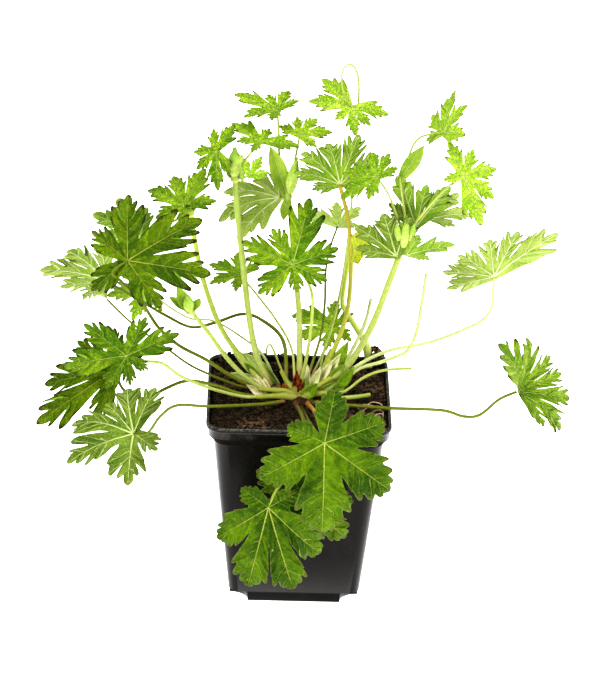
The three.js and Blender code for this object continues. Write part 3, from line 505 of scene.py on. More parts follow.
# Length, radius and density of the short and the long fibres.
for number, (length, radius, density) in enumerate(((4, 0.11, 2.4e4), (9, 0.16, 4e3))):
    fibre = bent_fibre("fibre", length, radius, number + 3)
    amounts = dict(Density=density, Floor=SOIL_TOP, Edge=FIBRE_REACH, Largest=1.3, Tilt=0.35)
    seat(scatter(f"fibres_{number}", soil, fibre, straw, **amounts), "soil")

# Loose crumbs lie on the back rim, and one big lump set with crumbs stands against its right corner.
RIM_CRUMBS = dict(count=110, heaped=92, lip=100.2, stretch=(1, 1, 0.8))
LUMP = dict(middle=(38, 39.5, 99), size=4.6, stretch=(1.05, 0.85, 1.75))
draw = np.random.default_rng(17)
points, faces = [], []
for number in range(RIM_CRUMBS["count"]):
    spot = np.array(LUMP["middle"])
    size, stretch = LUMP["size"], LUMP["stretch"]
    if number:
        size, stretch = draw.uniform(0.7, 1.6), RIM_CRUMBS["stretch"]
    if 0 < number < RIM_CRUMBS["heaped"]:
        way = draw.normal(0, 1, 3)
        way[2] = abs(way[2])
        spot = spot + way * (LUMP["size"] / np.linalg.norm(way)) * LUMP["stretch"]
    elif number:
        spot = (draw.uniform(-40, 40), draw.uniform(42.6, 44), RIM_CRUMBS["lip"] + size * 0.3)
    grain = crumb("rim_crumb", size, number, stretch)
    base = len(points)
    points += [np.array(vertex.co) / MM + spot for vertex in grain.data.vertices]
    faces += [[base + corner for corner in face.vertices] for face in grain.data.polygons]
    bpy.data.objects.remove(grain)
rim_crumbs = dress(new_piece("rim_crumbs", points, faces, smooth=False), grit)
seat(rim_crumbs, "soil")

# ---- Crown --------------------------------------------------------------------------------------
# The plant grows from a short rhizome that lies half sunk in the compost: knuckles of brown, olive
# and rust-red bark, from which every leaf stalk and stem starts.

# Middle and half size of each.
KNUCKLES = [
    ((0, -2, 97), (20, 8, 4.6)), ((-12, 0, 99), (7, 6, 4.6)), ((11, 0, 99), (7, 6, 4.6)),
    ((0, 2, 101), (5, 4.5, 6)), ((1, -11, 98), (5, 5, 4)),
]

knuckles = bmesh.new()
for middle, half in KNUCKLES:
    place = Matrix.Translation(Vector(middle) * MM) @ Matrix.Diagonal((*half, 1))
    bmesh.ops.create_icosphere(knuckles, subdivisions=4, radius=MM, matrix=place)
crown = built("rhizome_bark", knuckles)
one_body = crown.modifiers.new("one_body", "REMESH")
one_body.mode = "VOXEL"
one_body.voxel_size = 0.0005
settle(crown)
spots = np.array([vertex.co for vertex in crown.data.vertices]) / MM
rise = 0.5 * lattice(spots[:, 0], spots[:, 1] + spots[:, 2], 2.2, 4)
rise += 0.3 * lattice(spots[:, 0] * 2 + spots[:, 2], spots[:, 1], 1.0, 5) - 0.3
spots += np.array([vertex.normal for vertex in crown.data.vertices]) * rise[:, None]
crown.data.vertices.foreach_set("co", (spots * MM).ravel())
crown.data.shade_smooth()

bark = Finish("rhizome_bark", 0.3, 0.75)
bark_grain = bark.noise(900, 4)
bark.colour((0.03, 0.016, 0.01), (bark.noise(120, 2).step(0.45, 0.6), (0.26, 0.25, 0.07)),
            (bark.noise(170, 3).step(0.5, 0.64), (0.12, 0.03, 0.01)),
            (bark_grain.step(0.55, 0.75) * 0.5, (0.36, 0.28, 0.12)))
bark.bump(bark_grain + bark.noise(300, 2), 0.0006)
seat(dress(crown, bark), "rhizome", "rhizome")

# ---- Leaves from the crown ----------------------------------------------------------------------
# Each leaf is one thin blade on a long stalk. The blade is cut into lobes like a hand, and each lobe
# into blunt fingers. It is green above with the veins pressed in, and paler and downy below.

# The tones are those of a leaf's face, its back and its stalk. The lobes are each an angle from the
# middle lobe and a length against it.
SHAPE = dict(cut=0.3, wide=1, arch=0.04, fold=0.22, curl=0.1, lively=0.3, edge="toothed", radius=0.85)
YOUNG = dict(edge="plain", radius=0.6)
SMALL = dict(edge="plain", wide=1.05, radius=0.6)
EVEN = [(-110, 0.7), (-55, 0.9), (0, 1), (55, 0.9), (110, 0.7)]
LEAVES = {
    "leaf_front_large": dict(tones="grown grown rust", stalk=[(4, -14, 100.5), (7, -34, 106), (9, -50, 108),
        (12, -60, 101)], tip=(12, -74, 59), face=(0.05, -0.92, 0.36), lobes=[(-115, 0.45), (-60, 0.8),
        (0, 1), (55, 0.9), (110, 0.7), (170, 0.6)], cut=0.42, wide=1.1, radius=1, edge="broad"),
    "leaf_front_low": dict(tones="grown grown brown", stalk=[(-2, -14, 100.5), (1, -34, 104),
        (2, -47, 104.5), (1, -55, 98), (-5, -60, 85), (-11, -62, 75), (-14, -62, 67)], tip=(-23, -68, 27),
        face=(0, -0.97, 0.16), lobes=[(-115, 0.4), (-45, 0.7), (0, 1), (30, 1.05), (60, 0.85), (135, 0.4)],
        cut=0.42, wide=1.05, radius=0.9, edge="broad"),
    "leaf_front_under": dict(tones="grown grown brown", stalk=[(1, -15, 99), (4, -36, 102), (6, -48, 101.8),
        (6, -53.5, 92), (4, -54, 81), (3, -54, 70)], tip=(24, -57, 48), face=(0, -0.97, 0.2),
        lobes=[(-190, 0.8), (-160, 0.85), (-105, 0.8), (-45, 0.85), (0, 1), (40, 0.8)], cut=0.42,
        edge="broad"),
    "leaf_left_low": dict(tones="grown shaded olive", stalk=[(-7, -9, 99), (-19, -20, 102), (-43, -30, 105),
        (-59, -34, 107), (-67, -36, 102), (-73, -36, 93), (-80, -33, 91)], tip=(-113, -34, 77),
        face=(-0.25, 0.9, 0.3), lobes=[(-105, 0.6), (-65, 1.05), (0, 1), (50, 1), (80, 0.7), (105, 1),
        (135, 0.8)]),
    "leaf_left_mid": dict(tones="bright grown pale", stalk=[(-11, -6, 100), (-18, -9, 101), (-29, -13, 103),
        (-46, -20, 111), (-58, -26, 119), (-67, -27, 126), (-78, -25, 126), (-84, -24, 128)],
        tip=(-116, -24, 122), face=(-0.1, -0.85, 0.5), lobes=[(-165, 0.85), (-125, 0.65), (-45, 0.8),
        (0, 1), (50, 0.6), (90, 0.45), (140, 0.4)], cut=0.25, wide=0.85),
    "leaf_left_outer": dict(tones="dark grown olive", stalk=[(-17, -4, 98.6), (-29, -6, 101),
        (-42, -5, 105), (-55, -1, 105), (-66, 2, 99), (-73, 3, 94), (-80, 2, 94), (-87, -2, 101),
        (-90, -6, 112)], tip=(-128, -11, 84), face=(-0.35, -0.7, 0.6), lobes=[(-175, 0.4), (-120, 0.45),
        (-70, 0.55), (-25, 0.8), (0, 1), (40, 0.55)], wide=0.85),
    "leaf_left_high": dict(tones="dark grown olive", stalk=[(-18, -1, 100), (-34, -4, 110), (-46, -6, 119),
        (-59, -8, 127), (-69, -10, 137), (-78, -16, 154), (-87, -26, 168), (-91, -29, 174),
        (-84, -22, 177)], tip=(-44, -29, 174), face=(-0.1, -0.85, 0.5), lobes=[(-130, 0.55), (-45, 0.7),
        (0, 1), (40, 1), (100, 0.8), (150, 0.55)], wide=0.95),
    "leaf_left_far": dict(tones="dark bright olive", stalk=[(-6, 3, 100), (-8, 20, 118), (-19, 28, 126),
        (-29, 30, 128), (-42, 28, 124), (-54, 24, 123), (-67, 20, 131), (-79, 16, 140), (-95, 14, 151)],
        tip=(-128, 4, 162), face=(-0.2, 0.9, 0.4), lobes=[(-70, 0.5), (-30, 0.65), (0, 1), (30, 0.9),
        (60, 0.65), (110, 0.45)]),
    "leaf_left_pale": dict(tones="young young blanched", stalk=[(-10, 5, 99), (-18, 30, 106),
        (-30, 40, 112), (-43, 46, 117), (-55, 44, 119), (-67, 40, 128), (-76, 34, 139)], tip=(-96, 31, 136),
        face=(0, -0.7, 0.7), lobes=EVEN, **YOUNG),
    "leaf_left_curled": dict(tones="young young olive", stalk=[(-15, 5, 98.8), (-28, 2, 101.2),
        (-42, 1, 107), (-54, 5, 111), (-65, 12, 116), (-74, 20, 119), (-84, 26, 124), (-92, 28, 131),
        (-96, 27, 136)], tip=(-104, 22, 150), face=(-0.5, 0.3, 0.8), lobes=EVEN, **SMALL),
    "leaf_mid_face": dict(tones="bright grown pale", stalk=[(0.5, -1.5, 103), (3, -6, 120), (5, -8, 140),
        (5, -5, 154), (1, -3, 163), (-5, -8, 171)], tip=(3, 5, 201), face=(0.05, -0.9, 0.4),
        lobes=[(-155, 0.4), (-100, 0.55), (-55, 0.7), (0, 1), (45, 0.6), (80, 0.8), (145, 0.65)]),
    "leaf_top_loop": dict(tones="young young pale", stalk=[(4, 4, 101), (13, 24, 114), (19, 36, 134),
        (23, 46, 163), (25, 52, 198), (26, 52, 232), (25, 50, 248), (21, 46, 255), (17, 42, 252),
        (18, 38, 243), (22, 36, 236)], tip=(24, 27, 225), face=(0, -0.75, 0.65), lobes=[(-150, 1.6),
        (-115, 1.5), (-60, 0.7), (0, 1), (40, 0.9), (80, 1.3)], **YOUNG),
    "leaf_back_small": dict(tones="fresh young olive", stalk=[(4, 3, 106), (10, 18, 121), (12, 26, 136),
        (12, 28, 153), (14, 27, 167), (17, 26, 178)], tip=(28, 22, 190), face=(0, 0.9, 0.35),
        lobes=[(-100, 1.1), (-45, 0.9), (0, 1), (50, 0.6)], **SMALL),
    "leaf_mid_under": dict(tones="dark grown streaked", stalk=[(9, 4, 103), (17, 14, 117), (23, 18, 136),
        (24, 16, 161), (22, 12, 185), (17, 8, 207)], tip=(10, 2, 235), face=(0, 0.93, 0.3),
        lobes=[(-100, 0.5), (-60, 0.8), (-30, 0.95), (0, 1), (30, 1), (60, 0.85), (100, 0.6)], radius=1.2),
    "leaf_right_far": dict(tones="bright bright blanched", stalk=[(16, 3, 100), (27, 12, 108),
        (43, 22, 113), (65, 28, 116), (81, 30, 122), (91, 30, 128), (95, 28, 136), (95, 26, 145),
        (95, 24, 154)], tip=(125, 21, 179), face=(-0.1, 0.9, 0.4), lobes=[(-170, 0.65), (-140, 0.65),
        (-105, 0.6), (-60, 0.6), (-30, 0.75), (0, 1)]),
    "leaf_right_low": dict(tones="fair bright olive", stalk=[(8, -9.5, 99), (24, -17.5, 101.5),
        (44, -23, 103), (69, -24, 103), (80, -24, 100), (88, -24, 101), (97, -23, 109), (106, -22, 113)],
        tip=(134, -13, 106), face=(0.75, -0.55, 0.35), lobes=[(-60, 0.7), (-30, 1.15), (0, 1), (30, 0.85),
        (60, 0.8), (105, 0.95), (150, 1.3)]),
    "leaf_centre_dark": dict(tones="fresh bright pale", stalk=[(9, 6, 101), (12, 26, 108), (15, 36, 114),
        (17, 40, 118)], tip=(-5, 50, 122), face=(-0.2, -0.6, 0.75), lobes=[(-125, 0.5), (-70, 0.6), (0, 1),
        (40, 0.8), (100, 0.6), (160, 0.55)], **YOUNG),
    "leaf_behind": dict(tones="fresh bright pale", stalk=[(-2, 7, 103), (-4, 22, 114), (-12, 36, 123),
        (-22, 42, 134), (-30, 40, 145)], tip=(-46, 49, 148), face=(0, -0.3, 0.95), lobes=EVEN, **SMALL),
    "leaf_back_left": dict(tones="dark grown pale", stalk=[(-5, 4.5, 99), (-10, 30, 102), (-14, 47, 104),
        (-16, 55, 98), (-16, 58, 88)], tip=(-19, 63, 64), face=(-0.1, 0.95, 0.3), lobes=EVEN, **YOUNG),
    "leaf_back_right": dict(tones="dark grown pale", stalk=[(6, 4.5, 99), (12, 28, 101), (16, 46, 102.5),
        (18, 54, 96), (18, 56, 76)], tip=(22, 62, 50), face=(0.1, 0.95, 0.3), lobes=EVEN, **YOUNG),
}

# Half the edge of a lobe, from the notch beside it to its tip: share of the way out, half width, and
# a count that is whole at the tip of each tooth and halfway in the cleft after it.
EDGES = {
    "broad": [
        (0.1, 0.27, 0.3), (0.2, 0.3, 0.8), (0.255, 0.312, 1), (0.29, 0.3, 1.2), (0.3, 0.274, 1.5),
        (0.38, 0.286, 1.65), (0.49, 0.302, 1.85), (0.56, 0.3, 2), (0.598, 0.28, 2.12), (0.592, 0.24, 2.3),
        (0.565, 0.208, 2.5), (0.605, 0.2, 2.6), (0.685, 0.211, 2.8), (0.755, 0.216, 2.93),
        (0.793, 0.205, 3), (0.81, 0.18, 3.12), (0.79, 0.147, 3.35), (0.768, 0.128, 3.5),
        (0.805, 0.122, 3.62), (0.872, 0.123, 3.85), (0.916, 0.108, 4), (0.934, 0.083, 4.15),
        (0.92, 0.061, 4.5), (0.95, 0.052, 4.7), (0.985, 0.026, 4.93),
    ],
    "toothed": [
        (0.11, 0.2, 0.3), (0.24, 0.248, 0.6), (0.36, 0.272, 0.85), (0.45, 0.285, 0.96), (0.5, 0.287, 1),
        (0.54, 0.273, 1.2), (0.55, 0.257, 1.5), (0.61, 0.264, 1.7), (0.68, 0.273, 1.9), (0.728, 0.267, 2),
        (0.752, 0.245, 2.08), (0.738, 0.213, 2.17), (0.665, 0.172, 2.28), (0.57, 0.13, 2.4),
        (0.5, 0.1, 2.5), (0.51, 0.088, 2.56), (0.585, 0.1, 2.68), (0.7, 0.126, 2.82), (0.8, 0.147, 2.93),
        (0.847, 0.144, 3), (0.864, 0.124, 3.1), (0.83, 0.096, 3.3), (0.76, 0.07, 3.5), (0.778, 0.062, 3.6),
        (0.85, 0.068, 3.76), (0.922, 0.055, 3.88), (0.975, 0.029, 3.96),
    ],
    "plain": [
        (0.16, 0.19, 0.3), (0.33, 0.24, 0.7), (0.47, 0.272, 0.92), (0.555, 0.284, 1), (0.59, 0.262, 1.1),
        (0.582, 0.228, 1.3), (0.54, 0.186, 1.43), (0.51, 0.162, 1.5), (0.535, 0.15, 1.6), (0.62, 0.16, 1.8),
        (0.7, 0.168, 1.95), (0.742, 0.16, 2), (0.76, 0.136, 2.1), (0.738, 0.106, 2.35), (0.715, 0.09, 2.5),
        (0.755, 0.086, 2.6), (0.85, 0.079, 2.8), (0.93, 0.052, 2.92), (0.98, 0.023, 2.97),
    ],
}
# Where on the rib the row of each count starts: the count, and the share of the rib.
ROOTS_OF_ROWS = {
    "broad": [(-1, 0), (0, 0.25), (1, 0.4), (2, 0.5), (2.5, 0.56), (3, 0.68), (3.5, 0.735), (4, 0.83),
        (4.5, 0.87), (5, 1)],
    "toothed": [(-1, 0), (0, 0.2), (1, 0.36), (2, 0.48), (2.5, 0.515), (3, 0.7), (3.5, 0.75), (4, 1)],
    "plain": [(-1, 0), (0, 0.2), (1, 0.42), (1.5, 0.49), (2, 0.66), (2.5, 0.7), (3, 1)],
}
INNER_NOTCH = 0.1
SHOULDER = 0.8
SPREAD = 0.94
SEAM_ROWS = 7
BLADE_THICK = 0.32
QUILTING = 0.02  # rise of the blade between two side veins, as a share of its length
WAVINESS = 0.028
TOOTH_VARIETY = 0.12
RIB_ROUNDING = 0.04
CROWDING = 1.35  # how much closer a blade's points stand towards its edge
STALK_TAPER = np.array((1.25, 1, 0.9, 0.8))


def chance(seed, index):
    """A repeatable number from 0 to 1 for a pair of whole numbers."""
    wave = math.sin(seed * 127.1 + index * 311.7) * 43758.5453
    return wave - math.floor(wave)


def unit(vector):
    vector = np.asarray(vector, float)
    return vector / np.linalg.norm(vector)


def through(points, steps):
    """Points on a curve through the given ones, with so many steps from each to the next."""
    points = np.asarray(points, float)
    line = np.vstack([2 * points[0] - points[1], points, 2 * points[-1] - points[-2]])
    fine = []
    for i in range(len(points) - 1):
        start, end = line[i + 1], line[i + 2]
        leave, arrive = (end - line[i]) / 2, (line[i + 3] - start) / 2
        for t in np.arange(steps) / steps:
            fine.append((2 * t**3 - 3 * t**2 + 1) * start + (t**3 - 2 * t**2 + t) * leave
                        + (3 * t**2 - 2 * t**3) * end + (t**3 - t**2) * arrive)
    return np.array(fine + [points[-1]])


def evenly(points, steps):
    """The same curve in so many steps of equal length."""
    fine = through(points, 12)
    run = np.concatenate([[0], np.cumsum(np.linalg.norm(np.diff(fine, axis=0), axis=1))])
    marks = np.linspace(0, run[-1], steps + 1)
    return np.stack([np.interp(marks, run, fine[:, k]) for k in range(fine.shape[1])], axis=1)


def mark_points(piece, name, values):
    """Keeps a number for each point of a piece's mesh."""
    piece.data.attributes.new(name, "FLOAT", "POINT").data.foreach_set("value", np.array(values, float))


def chart_ribs(piece, marks):
    """Keeps for each point its place beside and along its rib as the UV map that the veins follow."""
    chart = piece.data.uv_layers.new(name="ribs")
    corners = np.empty(len(piece.data.loops), int)
    piece.data.loops.foreach_get("vertex_index", corners)
    chart.data.foreach_set("uv", np.array(marks)[corners].ravel())


def weld(piece, reach):
    """Merges the points of a piece that lie within reach of each other, in millimetres."""
    loose = bmesh.new()
    loose.from_mesh(piece.data)
    bmesh.ops.remove_doubles(loose, verts=loose.verts, dist=reach * MM)
    bmesh.ops.dissolve_degenerate(loose, edges=loose.edges, dist=reach * MM / 10)
    loose.to_mesh(piece.data)
    loose.free()


def stalk_mesh(name, points, radii, sides=8, ripple=0.05, seed=1):
    """A round stalk along a curve, with its length kept as an attribute and flat caps at its ends."""
    line = evenly(points, max(10, len(points) * 8))
    count = len(line)
    ahead = np.gradient(line, axis=0)
    ahead /= np.linalg.norm(ahead, axis=1)[:, None]
    side = unit(np.cross(ahead[0], (0.3, 0.2, 1.0)))
    radius = np.interp(np.linspace(0, 1, count), np.linspace(0, 1, len(radii)), radii)
    radius *= 1 + ripple * lattice(np.arange(count) * 1.0, np.zeros(count), 2.7, seed)
    angles = np.arange(sides) * 2 * math.pi / sides
    rings = []
    for i in range(count):
        side = unit(side - ahead[i] * (side @ ahead[i]))
        over = np.cross(ahead[i], side)
        rings.append(line[i] + radius[i] * (np.outer(np.cos(angles), side) + np.outer(np.sin(angles), over)))
    stalk = new_piece(name, *skin(rings))
    mark_points(stalk, "along", [*np.repeat(np.linspace(0, 1, count), sides), 0, 1])
    return stalk


def blade_sheet(name, leaf, seed, steps, columns):
    """The upper face of a blade. Its rows of quads run from each rib out to the edge, as side veins do."""
    joint = np.array(leaf["stalk"][-1], float)
    face = unit(leaf["face"])
    reach = np.array(leaf["tip"], float) - joint
    size = np.linalg.norm(reach)
    rise = reach @ face / size
    ahead = unit(reach - rise * size * face)
    left = np.cross(face, ahead)
    run = math.sqrt(1 - rise**2)

    def spots(index, along, across, way, extra):
        share = np.hypot(along, across)
        own = np.arctan2(across, along)
        free = np.maximum(0, share - leaf["cut"]) / (1 - leaf["cut"])
        lift = leaf["lively"] * (chance(seed, index) - 0.5) * free**2
        valley = np.hypot(np.sin(own), RIB_ROUNDING) - RIB_ROUNDING
        height = share * rise + leaf["arch"] * 4 * share * (1 - np.minimum(share, 1)) + lift + extra
        height += leaf["fold"] * share * valley - leaf["curl"] * free**2
        angle = way[0] + way[1] * own
        flat = np.multiply.outer(run * share * np.cos(angle), ahead)
        flat += np.multiply.outer(run * share * np.sin(angle), left)
        return joint + size * (flat + np.multiply.outer(height, face))

    lobes = [(math.radians(degrees), share) for degrees, share in leaf["lobes"]]
    gaps = []
    for i, (angle, share) in enumerate(lobes):
        next_angle, next_share = lobes[(i + 1) % len(lobes)]
        half = ((next_angle - angle) % (2 * math.pi)) / 2
        behind = i == len(lobes) - 1
        gaps.append((half, INNER_NOTCH if behind else leaf["cut"] * (share + next_share) / 2, behind))
    keys = np.array(EDGES[leaf["edge"]])
    roots = np.array(ROOTS_OF_ROWS[leaf["edge"]])
    last = roots[-1, 0]
    teeth = np.round(keys[:, 2])
    points, faces, ribs, rims, counts = [], [], [], [], []
    for i, (angle, share) in enumerate(lobes):
        for sign, (half, depth, behind) in ((-1, gaps[i - 1]), (1, gaps[i])):
            start = depth * math.cos(half)
            begin = max(start, leaf["cut"] * share * SHOULDER) if behind else start
            luck = np.array([chance(seed + 3 * i + sign, tooth) for tooth in teeth])
            swell = 1 + TOOTH_VARIETY * (luck - 0.5)
            along = begin + (share - begin) * keys[:, 0]
            across = keys[:, 1] * share * leaf["wide"] * swell
            own = np.arctan2(across, along)
            own /= (1 + (own / (SPREAD * half)) ** 6) ** (1 / 6)
            length = np.hypot(along, across)
            edge = np.column_stack([length * np.cos(own), length * np.sin(own), keys[:, 2]])
            notch = (start, depth * math.sin(half), 0)
            edge = through(np.vstack([notch, edge, (share, 0, last)]), steps)
            edge[:, 1] = np.maximum(edge[:, 1], 0)
            outer = np.vstack([np.linspace((0, 0, -1), notch, SEAM_ROWS + 1)[:-1], edge])
            count = np.maximum.accumulate(outer[:, 2])
            root = np.interp(count, roots[:, 0], roots[:, 1]) * share
            tapered = np.clip((last - count) * 4, 0, 1)
            base = len(points)
            for part in 1 - (1 - np.arange(columns + 1) / columns) ** CROWDING:
                here = root * (1 - part) + outer[:, 0] * part
                beside = outer[:, 1] * part
                quilt = QUILTING * share * np.sin(math.pi * count) ** 2 * part * (1 - part) * 4
                wave = WAVINESS * share * np.sin(math.pi * count + 6 * chance(seed, i)) * part**2 * tapered
                extra = np.where(count > 0, quilt + wave * np.clip(here / share * 3 - 1.2, 0, 1), 0)
                points.extend(spots(i, here, beside, (angle, sign), extra))
                ribs.extend(np.column_stack([sign * beside, here]) / share)
                rims.extend(np.where(count < 0, 1, np.where(count >= last, 0, 1 - part)))
                counts.extend(count)
            rows = len(count)
            for column in range(columns):
                for row in range(rows - 1):
                    a = base + column * rows + row
                    quad = (a, a + 1, a + 1 + rows, a + rows)
                    faces.append(quad if sign > 0 else quad[::-1])
    sheet = new_piece(name, points, faces)
    chart_ribs(sheet, ribs)
    mark_points(sheet, "rim", rims)
    mark_points(sheet, "count", counts)
    weld(sheet, reach=0.03)
    return sheet


def thicken(sheet, thickness, face, back):
    """Gives a sheet its thickness, with one finish on its face and another on its back."""
    dress(sheet, face, back)
    solid = sheet.modifiers.new("thickness", "SOLIDIFY")
    solid.thickness = thickness * MM
    solid.offset = -1
    solid.material_offset = 1
    return settle(sheet)


def join(name, pieces):
    """Joins pieces into one object."""
    with bpy.context.temp_override(active_object=pieces[0], selected_editable_objects=pieces):
        bpy.ops.object.join()
    pieces[0].name = name
    return pieces[0]


def rib_chart(finish, axis):
    """How far a place lies beside its rib, on X, and along it, on Y."""
    return finish.part(finish.node("UVMap", {"uv_map": "ribs"}, {}), axis)


def veins(finish, width):
    """The main ribs, the side veins that run to the teeth, the fine net, the way off each side vein, and
    painted light.
    """
    across, along = rib_chart(finish, "X"), rib_chart(finish, "Y")
    count, rim = finish.attribute("count"), finish.attribute("rim")
    rib = (abs(across) / (0.003 + (1 - along) * 0.009 * width)).step(1.3, 0.5)
    wander = (finish.noise(170, 2) - 0.5) * rim * 1.1
    pleat = (count + wander + 0.5).math("FRACT") - 0.5
    off = abs(pleat)
    side = (off / (0.01 + rim * 0.035 * width)).step(1.3, 0.5) * count.step(0.4, 0.7)
    cells = {"Vector": finish.place(), "Scale": 620}
    net = finish.node("TexVoronoi", {"feature": "DISTANCE_TO_EDGE"}, cells).step(0.1, 0)
    # The last share is painted light and shade: one side of each pleat between the side veins, and one half
    # of each lobe, lighter than the other.
    return rib, side, net, off, pleat * 0.5 + across.step(-0.03, 0.03) * 0.3


def leaf_face(name, deep, light, vein, margin, tips, roughness):
    """The upper side of a blade."""
    finish = Finish(name, 0.3, tint=(0.65, 0.88, 0.25))
    rib, side, net, off, lit = veins(finish, 1)
    rim, count = finish.attribute("rim"), finish.attribute("count")
    broad = finish.noise(42, 2).step(0.36, 0.64)
    mottle = finish.noise(420, 3).step(0.35, 0.7)
    # Small pale specks are painted glints of light.
    painted_glints = finish.noise(520, 1).step(0.76, 0.8)
    tooth = off.step(0.16, 0.08) * count.step(0.5, 0.8) * rim.step(0.22, 0.06)
    tip = tooth + rib_chart(finish, "Y").step(0.95, 0.985)
    # Away from the side veins, on one side of each pleat and on one half of each lobe, the green is painted
    # lighter: painted highlight and shade on the quilted, folded blade.
    finish.colour(
        deep, (broad * 0.5 + mottle * 0.35 + off * 0.4 + lit - 0.2, light), (net * 0.16, vein),
        (side * 0.42, vein), (rib * 0.75, vein), (painted_glints * 0.6, vein), (rim.step(0.09, 0.02) * 0.7, margin),
        (tip * 0.85, tips))
    finish.rough(roughness + mottle * 0.14)
    finish.bump(mottle * 0.3 - net * 0.4 - side * 0.9 - rib * 1.2, 0.001)
    return finish


def leaf_back(name, pale, shade, vein, roughness):
    """The under side of a blade, where the veins stand out."""
    finish = Finish(name, 0.12)
    rib, side, net, off, lit = veins(finish, 1.5)
    broad = finish.noise(45, 2).step(0.35, 0.65)
    down = finish.noise(1300, 2)
    # Between the side veins, on one side of each pleat and on one half of each lobe, the back is painted
    # darker: painted shade on the quilted, folded blade.
    finish.colour(
        pale, (broad * 0.6 + off * 0.5 + lit - 0.1, shade), (net * 0.3, vein), (side * 0.75, vein),
        (rib * 0.95, vein), (down.step(0.6, 0.8) * 0.2, (0.5, 0.56, 0.34)))
    finish.rough(roughness + down * 0.1)
    finish.bump(rib * 1.3 + side * 0.9 + net * 0.3 + down * 0.25, 0.0005)
    return finish


def stalk_skin(name, low, high, foot):
    """A fleshy stalk: its foot has a colour of its own, and fine streaks run along it."""
    finish = Finish(name, 0.2)
    along = finish.attribute("along")
    streak = finish.noise(420, 3).step(0.35, 0.65)
    finish.colour(low, (along, high), (streak * 0.3, tuple(c * 0.6 for c in low)),
                  (along.step(0.12, 0) * 0.8, foot))
    finish.rough(0.45 + streak * 0.12)
    finish.bump(streak + finish.noise(1800, 2) * 0.5, 0.00012)
    return finish


BROWN_TIP = (0.03, 0.017, 0.012)
# Deep green, light green, veins, margin, tips of the teeth, and roughness.
GREENS = {name: leaf_face("leaf_" + name, *row) for name, row in {
    "grown": ((0.018, 0.066, 0.0003), (0.135, 0.235, 0.001), (0.5, 0.58, 0.14), (0.2, 0.26, 0.05),
              (0.12, 0.13, 0.03), 0.34),
    "dark": ((0.034, 0.085, 0.0008), (0.18, 0.28, 0.003), (0.4, 0.46, 0.08), (0.022, 0.03, 0.004),
             BROWN_TIP, 0.36),
    "bright": ((0.064, 0.16, 0.002), (0.28, 0.42, 0.018), (0.5, 0.6, 0.16), (0.05, 0.08, 0.006),
               BROWN_TIP, 0.38),
    "fair": ((0.12, 0.24, 0.006), (0.36, 0.5, 0.05), (0.6, 0.7, 0.24), (0.1, 0.15, 0.015),
             (0.08, 0.06, 0.015), 0.4),
    "fresh": ((0.15, 0.29, 0.005), (0.38, 0.54, 0.035), (0.6, 0.7, 0.22), (0.16, 0.24, 0.03),
              (0.1, 0.1, 0.02), 0.42),
    "young": ((0.24, 0.42, 0.012), (0.5, 0.68, 0.08), (0.68, 0.78, 0.3), (0.2, 0.3, 0.04),
              (0.2, 0.18, 0.04), 0.45),
    "yellowed": ((0.42, 0.5, 0.02), (0.66, 0.72, 0.1), (0.78, 0.8, 0.3), (0.6, 0.5, 0.08),
                 (0.4, 0.24, 0.04), 0.5),
    "bract": ((0.13, 0.26, 0.01), (0.3, 0.45, 0.03), (0.5, 0.6, 0.16), (0.34, 0.4, 0.12),
              (0.24, 0.2, 0.06), 0.5),
}.items()}
# Pale green, shaded green, veins and roughness.
BACKS = {name: leaf_back("leaf_back_" + name, *row) for name, row in {
    "grown": ((0.25, 0.38, 0.03), (0.11, 0.21, 0.006), (0.5, 0.58, 0.22), 0.62),
    "shaded": ((0.15, 0.22, 0.015), (0.055, 0.11, 0.003), (0.44, 0.52, 0.2), 0.62),
    "downy": ((0.6, 0.7, 0.24), (0.36, 0.5, 0.1), (0.76, 0.8, 0.48), 0.7),
    "bright": ((0.36, 0.46, 0.09), (0.19, 0.3, 0.02), (0.66, 0.72, 0.4), 0.62),
    "young": ((0.48, 0.6, 0.14), (0.32, 0.46, 0.05), (0.72, 0.8, 0.44), 0.62),
    "bract": ((0.32, 0.44, 0.05), (0.14, 0.25, 0.01), (0.6, 0.68, 0.26), 0.65),
}.items()}
# Colours low on a stalk, high on it, and at its foot.
STALKS = {name: stalk_skin("stalk_" + name, *row) for name, row in {
    "pale": ((0.52, 0.57, 0.18), (0.37, 0.46, 0.09), (0.44, 0.32, 0.12)),
    "shoot": ((0.62, 0.68, 0.2), (0.44, 0.58, 0.05), (0.74, 0.6, 0.3)),
    "blanched": ((0.53, 0.59, 0.24), (0.51, 0.57, 0.26), (0.5, 0.4, 0.16)),
    "brown": ((0.1, 0.08, 0.02), (0.34, 0.4, 0.06), (0.16, 0.05, 0.015)),
    "streaked": ((0.5, 0.56, 0.1), (0.4, 0.28, 0.04), (0.44, 0.36, 0.12)),
    "olive": ((0.19, 0.21, 0.02), (0.12, 0.17, 0.012), (0.34, 0.22, 0.08)),
    "rust": ((0.45, 0.16, 0.03), (0.4, 0.46, 0.1), (0.42, 0.1, 0.02)),
    "tan": ((0.4, 0.38, 0.11), (0.36, 0.42, 0.05), (0.4, 0.25, 0.1)),
    "stem": ((0.48, 0.53, 0.16), (0.31, 0.4, 0.08), (0.38, 0.26, 0.09)),
}.items()}


def whole_leaf(name, row, seed):
    """A blade on its stalk, which ends just under the blade."""
    leaf = {**SHAPE, **row}
    face, back, skin_tone = leaf["tones"].split()
    steps, columns = (2, 5) if leaf["edge"] == "plain" else (3, 6)
    sheet = blade_sheet(name, leaf, seed, steps, columns)
    thicken(sheet, BLADE_THICK, GREENS[face], BACKS[back])
    radius = leaf["radius"]
    under = np.array(leaf["stalk"][-1]) - unit(leaf["face"]) * radius * 0.8
    stalk = stalk_mesh(name + "_stalk", [*leaf["stalk"][:-1], under], radius * STALK_TAPER, seed=seed)
    return join(name, [sheet, dress(stalk, STALKS[skin_tone])])


